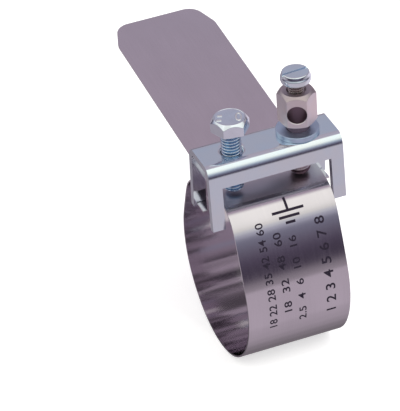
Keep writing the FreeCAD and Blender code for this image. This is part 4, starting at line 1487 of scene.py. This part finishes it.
def build_camera():
    """The camera at the photograph's angle: its axes from its turn, height and roll, and its lens
    from the focal length in pixels over the frame's width in pixels."""
    turn, height, roll = math.radians(19.45), math.radians(34.5), math.radians(-4.23)
    aim, distance = Vector((-5.96 * MM, 37.72 * MM, -1.97 * MM)), 924.16 * MM
    focal_pixels, frame_pixels, sensor_width = 3030.0, 400.0, 36.0
    flat = math.cos(height)
    back = Vector((-math.sin(turn) * flat, -math.cos(turn) * flat, math.sin(height)))
    right = Vector((math.cos(turn), -math.sin(turn), 0.0))
    up = back.cross(right)
    leaned = right * math.cos(roll) + up * math.sin(roll)
    upright = up * math.cos(roll) - right * math.sin(roll)
    camera = bpy.data.cameras.new("Camera")
    camera.sensor_fit = "HORIZONTAL"
    camera.sensor_width = sensor_width
    camera.lens = focal_pixels / frame_pixels * sensor_width
    camera.clip_start = 0.01
    camera.clip_end = 20.0
    holder = bpy.data.objects.new("Camera", camera)
    bpy.context.scene.collection.objects.link(holder)
    turned = Matrix((leaned, upright, back)).transposed().to_4x4()
    holder.matrix_world = Matrix.Translation(aim + back * distance) @ turned
    bpy.context.scene.camera = holder


# Operators, one for each piece or group of like pieces and one for the stage


class CLAMP_OT_strap(bpy.types.Operator):
    """Build the strap and its print"""

    bl_idname = "clamp.strap"
    bl_label = "Strap"

    def execute(self, context):
        sizes = context.scene.clamp_strap
        route = strap_route(sizes)
        band = build_strap(sizes, route)
        finish_piece(band, "clamp", ["Stainless strap"], ["strap"])
        finish_piece(build_print(sizes, route), "clamp", ["Etched print"])
        return {"FINISHED"}


class CLAMP_OT_bridge(bpy.types.Operator):
    """Build the pressed bridge and its two collars"""

    bl_idname = "clamp.bridge"
    bl_label = "Bridge"

    def execute(self, context):
        sizes = context.scene.clamp_bridge
        finishes = ["Zinc bridge", "Sheared edge"]
        finish_piece(build_bridge(sizes), "clamp", finishes, ["bridge"])
        for name, box, mouth in (("collar_bolt", BOLT_BOX, True), ("collar_post", POST_BOX, False)):
            collar = build_collar(name, sizes, middle(box, 0), mouth)
            finish_piece(collar, "clamp", ["Zinc bridge"])
        return {"FINISHED"}


class CLAMP_OT_bolt(bpy.types.Operator):
    """Build the clamp bolt and the marks on its head"""

    bl_idname = "clamp.bolt"
    bl_label = "Clamp bolt"

    def execute(self, context):
        bolt = build_bolt(context.scene.clamp_screws)
        finish_piece(bolt, "bolt", ["Zinc bolt"], ["clamp_bolt"])
        finish_piece(build_bolt_marks(), "bolt", ["Zinc marks with painted highlight"])
        return {"FINISHED"}


class CLAMP_OT_washer(bpy.types.Operator):
    """Build the flat washer under the post"""

    bl_idname = "clamp.washer"
    bl_label = "Washer"

    def execute(self, context):
        washer = build_flat_washer()
        finish_piece(washer, "clamp", ["Zinc washer"], ["flat_washer"])
        return {"FINISHED"}


class CLAMP_OT_post(bpy.types.Operator):
    """Build the terminal post with its stud"""

    bl_idname = "clamp.post"
    bl_label = "Terminal post"

    def execute(self, context):
        post = build_post(context.scene.clamp_screws)
        finish_piece(post, "post", ["Nickel post"], ["terminal_post"])
        return {"FINISHED"}


class CLAMP_OT_terminal_screw(bpy.types.Operator):
    """Build the terminal screw"""

    bl_idname = "clamp.terminal_screw"
    bl_label = "Terminal screw"

    def execute(self, context):
        screw = build_terminal_screw(context.scene.clamp_screws)
        finish_piece(screw, "wire_screw", ["Zinc screw"], ["terminal_screw"])
        return {"FINISHED"}


class CLAMP_OT_stage(bpy.types.Operator):
    """Build the floor, the surroundings, the lamp and the camera"""

    bl_idname = "clamp.stage"
    bl_label = "Stage"

    def execute(self, context):
        settings = context.scene.clamp_studio
        build_floor(settings)
        build_surroundings(settings)
        build_lamp(settings)
        build_camera()
        context.scene.view_settings.view_transform = "Standard"
        return {"FINISHED"}


class CLAMP_PT_panel(bpy.types.Panel):
    """Lists the pieces and their settings"""

    bl_label = "Earthing pipe clamp"
    bl_idname = "CLAMP_PT_panel"
    bl_space_type = "VIEW_3D"
    bl_region_type = "UI"
    bl_category = "Clamp"

    def draw(self, context):
        for kind in OPERATORS:
            self.layout.operator(kind.bl_idname)
        for name in GROUPS:
            group = getattr(context.scene, name)
            box = self.layout.box()
            for key in group.bl_rna.properties.keys():
                if key not in ("rna_type", "name"):
                    box.prop(group, key)


GROUPS = {
    "clamp_strap": StrapSizes,
    "clamp_bridge": BridgeSizes,
    "clamp_screws": ScrewSizes,
    "clamp_finishes": Finishes,
    "clamp_studio": StudioSettings,
}
OPERATORS = [
    CLAMP_OT_stage,
    CLAMP_OT_strap,
    CLAMP_OT_bridge,
    CLAMP_OT_bolt,
    CLAMP_OT_washer,
    CLAMP_OT_post,
    CLAMP_OT_terminal_screw,
]


def register():
    """Register the property groups, the operators and the panel."""
    for name, kind in GROUPS.items():
        bpy.utils.register_class(kind)
        setattr(bpy.types.Scene, name, PointerProperty(type=kind))
    for kind in OPERATORS + [CLAMP_PT_panel]:
        bpy.utils.register_class(kind)


def unregister():
    """Take everything out again."""
    for kind in reversed(OPERATORS + [CLAMP_PT_panel]):
        bpy.utils.unregister_class(kind)
    for name, kind in GROUPS.items():
        delattr(bpy.types.Scene, name)
        bpy.utils.unregister_class(kind)


def main():
    """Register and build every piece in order."""
    register()
    make_materials()
    for kind in OPERATORS:
        group, call = kind.bl_idname.split(".")
        getattr(getattr(bpy.ops, group), call)()
    bpy.context.view_layer.update()


if __name__ == "__main__":
    main()
